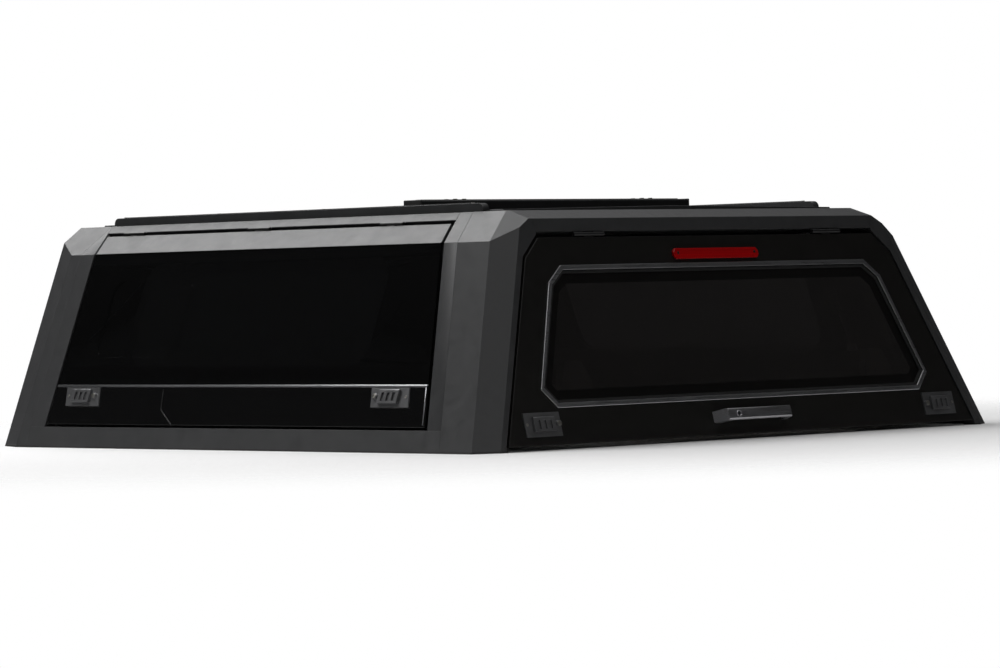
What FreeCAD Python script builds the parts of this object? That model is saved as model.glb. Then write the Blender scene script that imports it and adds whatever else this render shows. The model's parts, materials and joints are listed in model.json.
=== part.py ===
# Pickup truck canopy: a welded steel cap for the bed of a full-size pickup truck.
# Frame: +Z up, +Y towards the truck's cab, +X to the truck's right, origin on the base
# at the middle of its length and width. All sizes are in millimetres.
import FreeCAD
import Part
import Sketcher
import math
import os
import re

V = FreeCAD.Vector
FAR = 3000.0

# The driving sizes: alias, value, meaning. A value that starts with = follows other sizes.
SIZE_ROWS = [
    ("canopy_length", 1747, "base length, rear edge to front face"),
    ("base_width", 1762, "width at the base"),
    ("shoulder_width", 1382, "width where the side meets the upper facet"),
    ("roof_width", 1176, "width of the flat roof"),
    ("shoulder_height", 470, "height of the shoulder line"),
    ("roof_height", 540, "height of the frame's roof"),
    ("rear_lean", 0.261, "forward run of the rear per millimetre of height"),
    ("facet_lean", 0.75, "forward run of the lines on the upper facet per millimetre of height"),
    ("wall", 34, "depth of the frame's box sections"),
    ("lip_wall", 3, "thickness of the sealing lip at the back of a section"),
    ("lip_width", 14, "how far the sealing lip reaches into a door opening"),
    ("door_depth", 25, "depth of a door, outside to inside"),
    ("panel_depth", 20, "depth of the closed lower part of a side door"),
    ("glass_wall", 5, "thickness of the glass"),
    ("door_gap", 7, "gap between a door and its frame"),
    ("leaning_gap", 9.5, "gap at a side door's leaning rear edge, wider because the door swings past it"),
    ("seal_height", 4, "thickness of the rubber under the frame"),
    ("rear_corner_width", 57, "width of the rear corner's bevel, seen from behind"),
    ("rear_corner_run", 34, "length of the rear corner's bevel, seen from the side"),
    ("rear_top_run", 66, "length of the upper rear bevel at the roof, seen from the side"),
    ("rear_piece_depth", 139, "length of the rear corner piece along the base"),
    ("header_drop", 20, "drop of the bevel behind the roof"),
    ("header_run", 64, "length of the bevel behind the roof"),
    ("front_corner_width", 35, "width of the front corner's bevel"),
    ("front_corner_run", 89, "length of the front corner's bevel"),
    ("front_piece_depth", 126, "length of the front panel's side return"),
    ("front_post_width", 60, "width of the side frame's front post"),
    ("rear_post_width", 54, "width of the side frame's rear post"),
    ("sill_height", 50, "height of the side sill"),
    ("hinge_run", 39, "distance of the side hinge axis down the upper facet"),
    ("belt_height", 152, "height of the lower edge of the side glass"),
    ("inner_sill_height", 194, "top of the side door's inner lower rail"),
    ("inner_top_drop", 30, "depth of the side door's upper rail below the shoulder"),
    ("inner_top_height", "=shoulder_height-inner_top_drop", "underside of the side door's inner upper rail"),
    ("inner_stile_width", 222, "width of the side door's inner stiles at their foot"),
    ("inner_corner_radius", 50, "rounding of the side door's inner opening"),
    ("panel_rim", 30, "height of the closed rim behind the lower panel's upper edge"),
    ("groove_width", 2.5, "width of the seam lines in glass and panel"),
    ("groove_depth", 1.5, "depth of the seam lines in glass and panel"),
    ("pane_length", 298, "length of the opening pane"),
    ("pane_rear", "=pane_front-pane_length", "distance from the canopy's rear edge to the opening pane"),
    ("pane_ahead", 300, "distance from the front face to the opening pane"),
    ("pane_front", "=canopy_length-pane_ahead",
     "distance from the canopy's rear edge to the opening pane's front edge"),
    ("pane_low", 215, "height of the opening pane's lower edge"),
    ("pane_drop", 70, "distance of the opening pane below the shoulder"),
    ("pane_high", "=shoulder_height-pane_drop", "height of the opening pane's upper edge"),
    ("pane_radius", 30, "rounding of the opening pane's corners"),
    ("seam_ahead", 6, "distance of the panel seam's upper end ahead of the pane's rear edge"),
    ("seam_head", "=pane_rear+seam_ahead",
     "distance from the canopy's rear edge to the panel seam's upper end"),
    ("seam_back", 15, "how far the panel seam runs back down to its knee"),
    ("seam_knee", "=seam_head-seam_back", "distance from the canopy's rear edge to the panel seam's knee"),
    ("seam_run", 54, "how far the panel seam runs back below its knee"),
    ("seam_foot", "=seam_knee-seam_run", "distance from the canopy's rear edge to the panel seam's lower end"),
    ("seam_height", 92, "height of the panel seam's knee"),
    ("flange_width", 100, "reach of the bolting flange from the canopy's outer base line"),
    ("flange_wall", 6, "thickness of the bolting flange"),
    ("bolt_hole", 9, "diameter of the bolt holes"),
    ("bolt_inset", 75, "distance of a row of bolt holes from the canopy's side"),
    ("bolt_width", "=base_width-2*bolt_inset", "distance between the two rows of bolt holes"),
    ("bolt_end", 253.5, "distance of the end bolt holes from the canopy's ends"),
    ("bolt_pitch", "=canopy_length/2-bolt_end", "distance from one bolt hole to the next"),
    ("rear_door_bottom", 12, "height of the rear door's lower edge"),
    ("rear_foot_inset", 86, "width of the frame beside the rear door at its lower edge"),
    ("rear_door_foot", "=base_width/2-rear_foot_inset", "half width of the rear door at its lower edge"),
    ("rear_corner_drop", 40, "distance of the rear door's side corner below the shoulder"),
    ("rear_door_corner_height", "=shoulder_height-rear_corner_drop",
     "height of the rear door's upper side corner"),
    ("rear_corner_inset", 67, "distance of the rear door's side corner from the shoulder"),
    ("rear_door_corner", "=shoulder_width/2-rear_corner_inset", "half width of the rear door there"),
    ("rear_head_inset", 24, "distance of the rear door's upper end from the roof's edge"),
    ("rear_door_head", "=roof_width/2-rear_head_inset", "half width of the rear door at the hinge line"),
    ("rear_hinge_drop", 57, "distance of the rear hinge axis below the roof"),
    ("rear_hinge_height", "=roof_height-rear_hinge_drop", "height of the rear hinge axis"),
    ("window_top_drop", 17, "distance of the window's upper edge below the door's side corner"),
    ("window_top", "=rear_door_corner_height-window_top_drop", "height of the rear window's upper edge"),
    ("window_top_inset", 44, "distance of the window's upper edge from the door's upper end"),
    ("window_top_half", "=rear_door_head-window_top_inset", "half width of the rear window's upper edge"),
    ("window_bevel_tall", 39, "height of the window's upper bevel"),
    ("window_high", "=window_top-window_bevel_tall", "height of the rear window's upper side corner"),
    ("window_high_inset", 55, "distance of the window's upper side corner from the door's"),
    ("window_high_half", "=rear_door_corner-window_high_inset", "half width of the rear window there"),
    ("window_foot_tall", 42, "height of the window's lower bevel"),
    ("window_low", "=window_bottom+window_foot_tall", "height of the rear window's lower side corner"),
    ("window_low_inset", 133, "distance of the window's lower side corner from the door's"),
    ("window_low_half", "=rear_door_foot-window_low_inset", "half width of the rear window there"),
    ("window_bottom", 93, "height of the rear window's lower edge"),
    ("window_bevel_wide", 42, "width of the window's lower bevel"),
    ("window_bottom_half", "=window_low_half-window_bevel_wide", "half width of the rear window's lower edge"),
    ("trim_width", 11, "width of the rear window's trim"),
    ("trim_proud", 3, "how far the rear window's trim stands out"),
    ("lamp_length", 290, "length of the brake light"),
    ("lamp_rise", 9, "distance of the brake light above the window"),
    ("lamp_low", "=window_top+lamp_rise", "height of the brake light's lower edge"),
    ("lamp_tall", 25, "height of the brake light"),
    ("lamp_proud", 7, "how far the brake light stands out"),
    ("handle_length", 246, "length of the rear handle"),
    ("handle_height", 52, "height of the rear handle's centre"),
    ("handle_reach", 36, "how far the rear handle stands out"),
    ("handle_rod", 12, "thickness of the rear handle"),
    ("handle_tall", 28, "height of the rear handle's bar"),
    ("handle_slope", 16, "how far the rear handle's ends lean in as they rise from the door"),
    ("handle_round", 5, "rounding of the rear handle's long edges"),
    ("handle_eye_inset", 51, "distance of the handle's eye from its end"),
    ("handle_eye_place", "=handle_length/2-handle_eye_inset", "distance of the handle's eye from its middle"),
    ("handle_eye_radius", 6, "radius of the handle's eye"),
    ("front_window_inset", 68, "distance of the front window from the roof's edge"),
    ("front_window_half", "=roof_width/2-front_window_inset", "half width of the front window"),
    ("front_window_low", 130, "height of the front window's lower edge"),
    ("front_window_drop", 50, "distance of the front window below the shoulder"),
    ("front_window_high", "=shoulder_height-front_window_drop", "height of the front window's upper edge"),
    ("roof_edge_lap", 14, "how far the roof's edge reaches in past its box section"),
    ("roof_sheet", 4, "thickness of the roof sheet"),
    ("roof_crown", 6, "rise of the roof sheet at its middle"),
    ("roof_panel_inset", 28, "distance of the roof sheet from the roof's edge"),
    ("roof_panel_half", "=roof_width/2-roof_panel_inset", "half width of the roof sheet"),
    ("roof_panel_rear", 245, "distance from the canopy's rear edge to the roof sheet"),
    ("roof_panel_front", 60, "distance from the front face to the roof sheet"),
    ("rail_width", 20, "width of a roof rail"),
    ("rail_height", 20, "height of a roof rail"),
    ("rail_inset", 22, "distance of a roof rail's middle from the roof's edge"),
    ("rail_half", "=roof_width/2-rail_inset", "distance of a roof rail's middle from the centre plane"),
    ("rail_rear", 295, "distance from the canopy's rear edge to the roof rails"),
    ("rail_front", 120, "distance from the front face to the roof rails"),
    ("rail_end_radius", 15, "rounding of a roof rail's upper ends"),
    ("bar_length", 914, "length of the roof bar"),
    ("bar_wide", 60, "width of the roof bar"),
    ("bar_tall", 25, "height of the roof bar"),
    ("bar_edge_radius", 6, "rounding of the roof bar's long edges"),
    ("bar_foot", 11, "height of the roof bar's feet above the frame's roof"),
    ("bar_foot_inset", 137, "distance of a foot's middle from the bar's end"),
    ("bar_foot_half", "=bar_length/2-bar_foot_inset", "distance of a roof bar's foot from the centre plane"),
    ("bar_foot_length", 60, "length of a roof bar's foot"),
    ("bar_foot_wide", 40, "width of a roof bar's foot"),
    ("bar_place", 656, "distance from the canopy's rear edge to the roof bar's middle"),
    ("knuckle_radius", 4.5, "outer radius of a hinge knuckle"),
    ("hinge_pin_radius", 2.5, "radius of a hinge pin"),
    ("pin_clearance", 0.05, "radial clearance of a pin in its bore"),
    ("hinge_width", 78, "width of a side hinge"),
    ("rear_hinge_width", 98, "width of a rear hinge"),
    ("hinge_leaf", 3, "thickness of a hinge leaf"),
    ("hinge_play", 0.4, "gap between two knuckles along the pin"),
    ("side_hinge_rear", 554, "distance from the canopy's rear edge to the rear side hinge"),
    ("side_hinge_front", 253, "distance from the front face to the front side hinge"),
    ("side_hinge_pitch", "=(canopy_length-side_hinge_rear-side_hinge_front)/2",
     "distance from one side hinge to the next"),
    ("rear_hinge_inset", 157, "distance of a rear hinge's middle from the door's upper end"),
    ("rear_hinge_half", "=rear_door_head-rear_hinge_inset", "distance of a rear hinge from the centre plane"),
    ("strut_radius", 9, "outer radius of a gas strut's tube"),
    ("strut_rod_radius", 4, "radius of a gas strut's rod"),
    ("strut_play", 0.3, "clearance round and beside a gas strut's rod"),
    ("rear_stud_play", 0.8, "gap between a rear strut's ball and its stud on the door"),
    ("strut_tube_share", 0.68, "length of the tube as a share of the closed strut"),
    ("strut_ball_radius", 6, "radius of the ball at each end of a gas strut"),
    ("strut_stud_radius", 3, "radius of the stud that holds a strut's ball"),
    ("frame_bracket_reach", 50, "height of a side strut's frame bracket above the ball, before it is trimmed"),
    ("door_bracket_reach", 46, "reach of a side strut's door bracket from the ball, before it is trimmed"),
    ("rear_bracket_reach", 60, "reach of a rear strut's door bracket from the ball, before it is trimmed"),
    ("rear_post_reach", 62, "reach of a rear strut's frame post from the ball, before it is trimmed"),
    ("post_radius", 4, "radius of a rear strut's frame post"),
    ("post_foot_radius", 11, "radius of that post's foot"),
    ("post_foot_length", 28, "length of that post's foot"),
    ("strut_plate", 4, "thickness of a strut bracket"),
    ("strut_stud_length", 4, "length of the stud between the ball and its bracket"),
    ("side_strut_top_in", 30, "side strut's upper pivot, inwards from the hinge axis"),
    ("side_strut_top_down", 42, "side strut's upper pivot, down from the hinge axis"),
    ("side_strut_low_out", 125, "side strut's lower pivot, outwards from the hinge axis"),
    ("side_strut_low_down", 325, "side strut's lower pivot, down from the hinge axis"),
    ("side_strut_rear", 346, "distance from the canopy's rear edge to the rear side strut"),
    ("side_strut_ahead", 247, "distance from the front face to the front side strut"),
    ("side_strut_front", "=canopy_length-side_strut_ahead",
     "distance from the canopy's rear edge to the front side strut"),
    ("rear_strut_frame_inset", 146, "distance of a rear strut's frame pivot from the side"),
    ("rear_strut_frame_half", "=base_width/2-rear_strut_frame_inset",
     "distance of a rear strut's frame pivot from the centre plane"),
    ("rear_strut_frame_ahead", 183, "the same pivot's distance from the canopy's rear edge"),
    ("rear_strut_frame_height", 170, "the same pivot's height"),
    ("rear_strut_door_inset", 39, "distance of the door pivot from the door's side corner"),
    ("rear_strut_door_half", "=rear_door_corner-rear_strut_door_inset",
     "distance of a rear strut's door pivot from the centre plane"),
    ("rear_strut_door_drop", 91, "distance of the door pivot below the hinge axis"),
    ("rear_strut_door_height", "=rear_hinge_height-rear_strut_door_drop", "the same pivot's height"),
    ("rear_strut_door_depth", 51, "the same pivot's depth behind the rear face"),
    ("side_door_angle", 78, "opening angle of a side door in degrees"),
    ("rear_door_angle", 80, "opening angle of the rear door in degrees"),
    ("latch_length", 124, "length of a side latch plate"),
    ("latch_tall", 44, "height of a side latch plate"),
    ("rear_latch_length", 112, "length of a rear latch plate"),
    ("rear_latch_tall", 54, "height of a rear latch plate"),
    ("latch_wall", 4, "thickness of a latch plate"),
    ("latch_lean", 12, "how far a latch plate's ends lean"),
    ("paddle_length", 66, "length of a latch paddle"),
    ("paddle_tall", 34, "height of a latch paddle"),
    ("paddle_wall", 7, "thickness of a latch paddle"),
    ("paddle_play", 0.3, "gap between a latch paddle and its plate"),
    ("slot_pitch", 18, "distance from one finger slot to the next"),
    ("slot_width", 9, "width of a finger slot in a paddle"),
    ("slot_depth", 4, "depth of a finger slot in a paddle"),
    ("slot_margin", 5, "distance of a finger slot from the paddle's upper and lower edge"),
    ("lock_radius", 8, "radius of a latch's lock cylinder"),
    ("lock_place", 47, "distance of the lock cylinder from the latch's middle"),
    ("lock_proud", 5, "how far the lock cylinder stands out from its plate"),
    ("inner_latch_depth", 22, "depth of the rear door's inner latches"),
    ("inner_latch_inset", 192, "distance of an inner latch from the window's side corner"),
    ("inner_latch_half", "=window_low_half-inner_latch_inset",
     "distance of a rear inner latch from the centre plane"),
    ("inner_latch_width", 95, "width of a rear inner latch"),
    ("inner_latch_low", 62, "height of a rear inner latch's lower edge"),
    ("inner_latch_point", 45, "height of an inner latch's tapered top"),
    ("inner_latch_neck", "=inner_latch_high-inner_latch_point", "height where a rear inner latch narrows"),
    ("inner_latch_high", 195, "height of a rear inner latch's upper edge"),
    ("inner_latch_taper", 22, "how far a rear inner latch narrows at each side"),
    ("side_latch_low", 101, "height of a side latch's lower edge"),
    ("side_latch_rear", 282, "distance from the canopy's rear edge to the rear side latch"),
    ("side_latch_ahead", 361, "distance from the front face to the front side latch"),
    ("side_latch_front", "=canopy_length-side_latch_ahead",
     "distance from the canopy's rear edge to the front side latch"),
    ("rear_latch_low", 31, "height of a rear latch's lower edge"),
    ("rear_latch_inset", 115, "distance of a rear latch's middle from the door's lower end"),
    ("rear_latch_half", "=rear_door_foot-rear_latch_inset",
     "distance of a rear latch's middle from the centre plane"),
]

doc = FreeCAD.newDocument("truck_canopy")
sheet = doc.addObject("Spreadsheet::Sheet", "Sizes")
NAMES = {row[0] for row in SIZE_ROWS}


def fill_sheet():
    for number, (alias, value, meaning) in enumerate(SIZE_ROWS, 1):
        sheet.set(f"A{number}", alias)
        sheet.set(f"C{number}", meaning)
        sheet.setAlias(f"B{number}", alias)
    for number, row in enumerate(SIZE_ROWS, 1):
        sheet.set(f"B{number}", str(row[1]))
    doc.recompute()


def bound(text):
    """An expression in the sheet's aliases, as the document reads it."""
    return re.sub(r"[a-z_]+", lambda m: "Sizes." + m[0] if m[0] in NAMES else m[0], str(text))


def size(text):
    """The present value of such an expression."""
    return float(sheet.evalExpression(bound(text)))


fill_sheet()

# The body's planes, written once as expressions.
BACK = "(-canopy_length/2)"
FRONT = "(canopy_length/2)"
SIDE_LEAN = "((base_width-shoulder_width)/2/shoulder_height)"
FACET_OUT = "((shoulder_width-roof_width)/2)"
FACET_DOWN = "(roof_height-shoulder_height)"
FACET_LENGTH = f"sqrt({FACET_OUT}^2+{FACET_DOWN}^2)"
LEAN_STRETCH = "sqrt(1+rear_lean^2)"


def side_line(start, height):
    """Y of a line that leans with the rear below the shoulder and with the facet above it."""
    return f"({BACK}+{start}+rear_lean*min({height};shoulder_height)+facet_lean*max({height}-shoulder_height;0))"


def facet_x(run, depth="0"):
    return f"(roof_width/2+({run})*{FACET_OUT}/{FACET_LENGTH}-({depth})*{FACET_DOWN}/{FACET_LENGTH})"


def facet_z(run, depth="0"):
    return f"(roof_height-({run})*{FACET_DOWN}/{FACET_LENGTH}-({depth})*{FACET_OUT}/{FACET_LENGTH})"


# The canopy's outer form is what lies inside a set of planes. The same planes, moved inwards,
# bound the back of the glass, of the doors and of the frame.
def outer_planes():
    """Each plane as a point on it and its outward normal."""
    half_length = size(FRONT)
    base_half, shoulder, roof_half = size("base_width/2"), size("shoulder_width/2"), size("roof_width/2")
    low, high = size("shoulder_height"), size("roof_height")
    lean = size("rear_lean")
    side_lean = size(SIDE_LEAN)
    strip_width = size("rear_corner_width")
    corner_run = size("rear_corner_run")
    front_face = V(0, half_length, 0)
    planes = [
        (V(0, 0, high), V(0, 0, 1)),
        (front_face, V(0, 1, 0)),
        (V(0, -half_length, 0), V(0, -1, lean)),
    ]
    header_back = -half_length + lean * (high - size("header_drop"))
    planes.append((V(0, header_back, high - size("header_drop")), V(0, -size("header_drop"), size("header_run"))))
    for side in (-1, 1):
        planes.append((V(side * base_half, 0, 0), V(side, 0, side_lean)))
        planes.append((V(side * shoulder, 0, low), V(side * (high - low), 0, shoulder - roof_half)))
        # Rear bevel of the side, through its edge on the side and its edge on the rear face.
        edge_low = V(side * base_half, -half_length + corner_run, 0)
        edge_high = V(side * shoulder, -half_length + corner_run + lean * low, low)
        rear_low = V(side * (base_half - strip_width), -half_length, 0)
        bevel = (edge_high - edge_low).cross(rear_low - edge_low) * side
        planes.append((edge_low, bevel))
        # Rear bevel of the upper facet, from the shoulder to the roof's corner.
        roof_corner = V(side * roof_half, -half_length + lean * high + size("rear_top_run"), high)
        header_corner = V(side * roof_half, header_back, high - size("header_drop"))
        planes.append((edge_high, (roof_corner - edge_high).cross(header_corner - edge_high)))
        # Front bevel of the side.
        front_edge = V(side * base_half, half_length - size("front_corner_run"), 0)
        front_edge_high = V(side * shoulder, half_length - size("front_corner_run"), low)
        front_low = V(side * (base_half - size("front_corner_width")), half_length, 0)
        planes.append((front_edge, (front_edge_high - front_edge).cross(front_low - front_edge)))
    return planes


def beyond(point, normal, inset):
    """A block that holds all that lies outside a plane moved inwards, whichever way its normal points."""
    n = V(normal)
    n.normalize()
    middle = V(0, 0, size("roof_height") / 2)
    if (middle - point).dot(n) > 0:
        n = n * -1
    block = Part.makeBox(2 * FAR, 2 * FAR, FAR, V(-FAR, -FAR, 0))
    turn = FreeCAD.Rotation(V(0, 0, 1), n)
    block.Placement = FreeCAD.Placement(point - n * inset, turn)
    return block


def canopy_form(label, inset):
    depth = size(inset)
    solid = Part.makeBox(FAR, FAR, FAR, V(-FAR / 2, -FAR / 2, -FAR / 2))
    for point, normal in outer_planes():
        solid = solid.cut(beyond(point, normal, depth))
    feature = doc.addObject("Part::Feature", label)
    feature.Shape = solid
    return feature


outer_form = canopy_form("outer_form", "0")
glass_back = canopy_form("glass_back", "glass_wall")
panel_back = canopy_form("panel_back", "panel_depth")
door_back = canopy_form("door_back", "door_depth")
lip_front = canopy_form("lip_front", "wall-lip_wall")
frame_back = canopy_form("frame_back", "wall")

SUB_PARTS = []
count = {}


def name_for(stem):
    count[stem] = count.get(stem, 0) + 1
    return f"{stem}_{count[stem]}"


def outline_sketch(body, role, outlines):
    """Closed outlines on one of the body's own planes, every corner bound to the sheet."""
    sketch = body.newObject("Sketcher::SketchObject", body.Name + "_outline")
    plane = [f for f in body.Origin.OriginFeatures if f.Role == role][0]
    sketch.AttachmentSupport = (plane, [""])
    sketch.MapMode = "FlatFace"
    first = 0
    for points in outlines:
        values = [(size(across), size(up)) for across, up in points]
        total = len(values)
        for i in range(total):
            start, end = values[i], values[(i + 1) % total]
            sketch.addGeometry(Part.LineSegment(V(*start, 0), V(*end, 0)), False)
        for i in range(total):
            sketch.addConstraint(Sketcher.Constraint("Coincident", first + i, 2, first + (i + 1) % total, 1))
        for i in range(total):
            for kind, text, value in zip(("DistanceX", "DistanceY"), points[i], values[i]):
                place = sketch.addConstraint(Sketcher.Constraint(kind, -1, 1, first + i, 1, value))
                sketch.setExpression(f"Constraints[{place}]", bound(text))
        first += total
    return sketch


def seen_from_behind(outlines, stem="rear_view"):
    """A prism along Y whose outline is given in X and Z."""
    body = doc.addObject("PartDesign::Body", name_for(stem))
    sketch = outline_sketch(body, "XZ_Plane", outlines)
    pad = body.newObject("PartDesign::Pad", body.Name + "_pad")
    pad.Profile = sketch
    pad.Length = 2 * FAR
    pad.Midplane = True
    return body


def seen_from_side(points, side=0, stem="side_view"):
    """A prism along X whose outline is given in Y and Z, on one side of the centre or on both."""
    body = doc.addObject("PartDesign::Body", name_for(stem))
    sketch = outline_sketch(body, "YZ_Plane", [points])
    pad = body.newObject("PartDesign::Pad", body.Name + "_pad")
    pad.Profile = sketch
    pad.Length = 2 * FAR if side == 0 else FAR
    pad.Midplane = side == 0
    pad.Reversed = side < 0
    return body


def common(objects, stem="part_of"):
    result = doc.addObject("Part::MultiCommon", name_for(stem))
    result.Shapes = objects
    return result


def cut(base, tool, stem="without"):
    result = doc.addObject("Part::Cut", name_for(stem))
    result.Base = base
    result.Tool = tool
    return result


def fuse(objects, stem="joined"):
    result = doc.addObject("Part::MultiFuse", name_for(stem))
    result.Shapes = objects
    return result


def sub_part(feature, label):
    feature.Label = label
    SUB_PARTS.append(feature)
    return feature


def layer(front, back):
    """The skin between two of the canopy's forms."""
    return cut(front, back, "layer")


frame_layer = layer(outer_form, frame_back)
glass_layer = layer(outer_form, glass_back)
panel_layer = layer(outer_form, panel_back)
door_layer = layer(outer_form, door_back)
behind_glass = layer(glass_back, door_back)
lip_layer = layer(lip_front, frame_back)
groove_layer = layer(canopy_form("groove_front", "-groove_depth"), canopy_form("groove_back", "groove_depth"))

# Heights and lines that several pieces share.
TOP = "(roof_height+50)"
SILL_TOP = "sill_height"
FLOOR = "seal_height"
SEAM_REAR = "rear_piece_depth"
OPENING_REAR = "(rear_piece_depth+rear_post_width-leaning_gap)"
DOOR_REAR = "(rear_piece_depth+rear_post_width)"
DOOR_FRONT_BASE = f"({FRONT}-front_piece_depth-front_post_width)"
OPENING_FRONT_BASE = f"({DOOR_FRONT_BASE}+door_gap)"
SEAM_FRONT = f"({FRONT}-front_piece_depth)"
DOOR_BOTTOM = "(sill_height+door_gap)"

# The rear door's sloping edges, as width per millimetre of height, and the same edges
# moved outwards by the gap: at the foot, at the hinge line and where the two meet.
EDGE_LOW = "((rear_door_foot-rear_door_corner)/(rear_door_corner_height-rear_door_bottom))"
EDGE_HIGH = "((rear_door_corner-rear_door_head)/(rear_hinge_height-rear_door_corner_height))"
REAR_FOOT_CLEAR = f"(rear_door_foot+door_gap*sqrt(1+{EDGE_LOW}^2))"
REAR_HEAD_CLEAR = f"(rear_door_head+door_gap*sqrt(1+{EDGE_HIGH}^2))"
REAR_CORNER_CLEAR = (f"(rear_door_corner_height+door_gap*(sqrt(1+{EDGE_HIGH}^2)-sqrt(1+{EDGE_LOW}^2))"
                     f"/({EDGE_HIGH}-{EDGE_LOW}))")


def front_kinked(start, height):
    return f"({start}+facet_lean*max({height}-shoulder_height;0))"


def upright_region(rear_start, front_start, low, high, rear_shift="0", front_shift="0"):
    """A region of the side view between a leaning rear line and the front line."""
    levels = [low, high]
    if size(low) < size("shoulder_height") < size(high):
        levels = [low, "shoulder_height", high]
    rear = [(f"({side_line(rear_start, z)}+{rear_shift})", z) for z in reversed(levels)]
    front = [(f"({front_kinked(front_start, z)}+{front_shift})", z) for z in levels]
    return front + rear


def below_hinge(side, gap):
    """The region of the rear view that lies beyond the hinge line, down the upper facet."""
    run = f"(hinge_run+{gap})"
    points = [
        (facet_x(run, "-60"), facet_z(run, "-60")),
        (facet_x(run, "60"), facet_z(run, "60")),
        (facet_x(run, "60"), "-50"),
        ("base_width", "-50"),
        ("base_width", facet_z(run, "-60")),
    ]
    return [[(f"({side})*{x}", z) for x, z in points]]


def above_hinge(side, gap):
    """The region of the rear view between the roof rail's inner edge and the hinge line."""
    run = f"(hinge_run-{gap})"
    points = [
        ("(roof_width/2-wall-roof_edge_lap)", "(shoulder_height-40)"),
        (facet_x(run, "60"), facet_z(run, "60")),
        (facet_x(run, "-60"), facet_z(run, "-60")),
        ("(roof_width/2-wall-roof_edge_lap)", "(roof_height+60)"),
    ]
    return [[(f"({side})*{x}", z) for x, z in points]]


def beside_roof(side):
    """The rear view outside the roof's inner edge."""
    inner = "(roof_width/2-wall-roof_edge_lap)"
    points = [(inner, "0"), ("base_width", "0"), ("base_width", TOP), (inner, TOP)]
    return [[(f"({side})*{x}", z) for x, z in points]]


def side_frame(side, prefix):
    """Sill with its bolting flange, front and rear posts and the rail above the door."""
    straight = [
        (side_line(SEAM_REAR, FLOOR), FLOOR),
        (SEAM_FRONT, FLOOR),
        (SEAM_FRONT, SILL_TOP),
        (side_line(SEAM_REAR, SILL_TOP), SILL_TOP),
    ]
    wall_part = common([frame_layer, seen_from_side(straight, side)])
    lip = common([lip_layer, seen_from_side(upright_region(OPENING_REAR, OPENING_FRONT_BASE, SILL_TOP,
                                                           "(sill_height+lip_width)"), side)])
    flange = doc.addObject("Part::Box", name_for("flange"))
    flange.setExpression("Height", bound("flange_wall"))
    flange.setExpression("Width", bound(f"{SEAM_FRONT}-{side_line(SEAM_REAR, SILL_TOP)}"))
    flange.setExpression("Length", bound("flange_width"))
    inner = "(base_width/2-flange_width)"
    left_edge = inner if side > 0 else "(-base_width/2)"
    flange.setExpression("Placement.Base.x", bound(left_edge))
    flange.setExpression("Placement.Base.y", bound(side_line(SEAM_REAR, SILL_TOP)))
    flange.setExpression("Placement.Base.z", bound(FLOOR))
    trimmed = common([flange, outer_form])
    holes = []
    for step in (-1, 0, 1):
        hole = doc.addObject("Part::Cylinder", name_for("bolt_hole"))
        hole.setExpression("Radius", bound("bolt_hole/2"))
        hole.setExpression("Height", bound("flange_wall*4"))
        hole.setExpression("Placement.Base.x", bound(f"({side})*bolt_width/2"))
        hole.setExpression("Placement.Base.y", bound(f"{step}*bolt_pitch"))
        hole.setExpression("Placement.Base.z", "-2 mm")
        holes.append(hole)
    sill = cut(fuse([wall_part, lip, trimmed]), fuse(holes, "bolt_holes"))
    sub_part(sill, f"{prefix}_side_sill")

    def post(low_edge, high_edge, lip_region, label):
        solid = common([frame_layer, seen_from_side(low_edge + high_edge, side), seen_from_behind(beside_roof(side))])
        edge = common([lip_layer, seen_from_side(lip_region, side)])
        return sub_part(fuse([solid, edge]), label)

    levels = [SILL_TOP, "shoulder_height", TOP]
    post([(SEAM_FRONT, z) for z in (SILL_TOP, TOP)],
         [(front_kinked(OPENING_FRONT_BASE, z), z) for z in reversed(levels)],
         [(f"({OPENING_FRONT_BASE}-lip_width)", "(sill_height+lip_width)"), (OPENING_FRONT_BASE, "(sill_height+lip_width)"),
          (OPENING_FRONT_BASE, "(shoulder_height-wall)"), (f"({OPENING_FRONT_BASE}-lip_width)", "(shoulder_height-wall)")],
         f"{prefix}_front_post")
    post([(side_line(OPENING_REAR, z), z) for z in levels],
         [(side_line(SEAM_REAR, z), z) for z in reversed(levels)],
         [(f"({side_line(OPENING_REAR, z)}+{shift})", z) for z, shift in
          (("(sill_height+lip_width)", "0"), ("(sill_height+lip_width)", "lip_width"),
           ("(shoulder_height-wall)", "lip_width"), ("(shoulder_height-wall)", "0"))],
         f"{prefix}_rear_post")
    rail_region = upright_region(OPENING_REAR, OPENING_FRONT_BASE, "(shoulder_height-40)", TOP)
    rail = common([frame_layer, seen_from_side(rail_region, side), seen_from_behind(above_hinge(side, "door_gap"))])
    sub_part(rail, f"{prefix}_top_rail")


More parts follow.
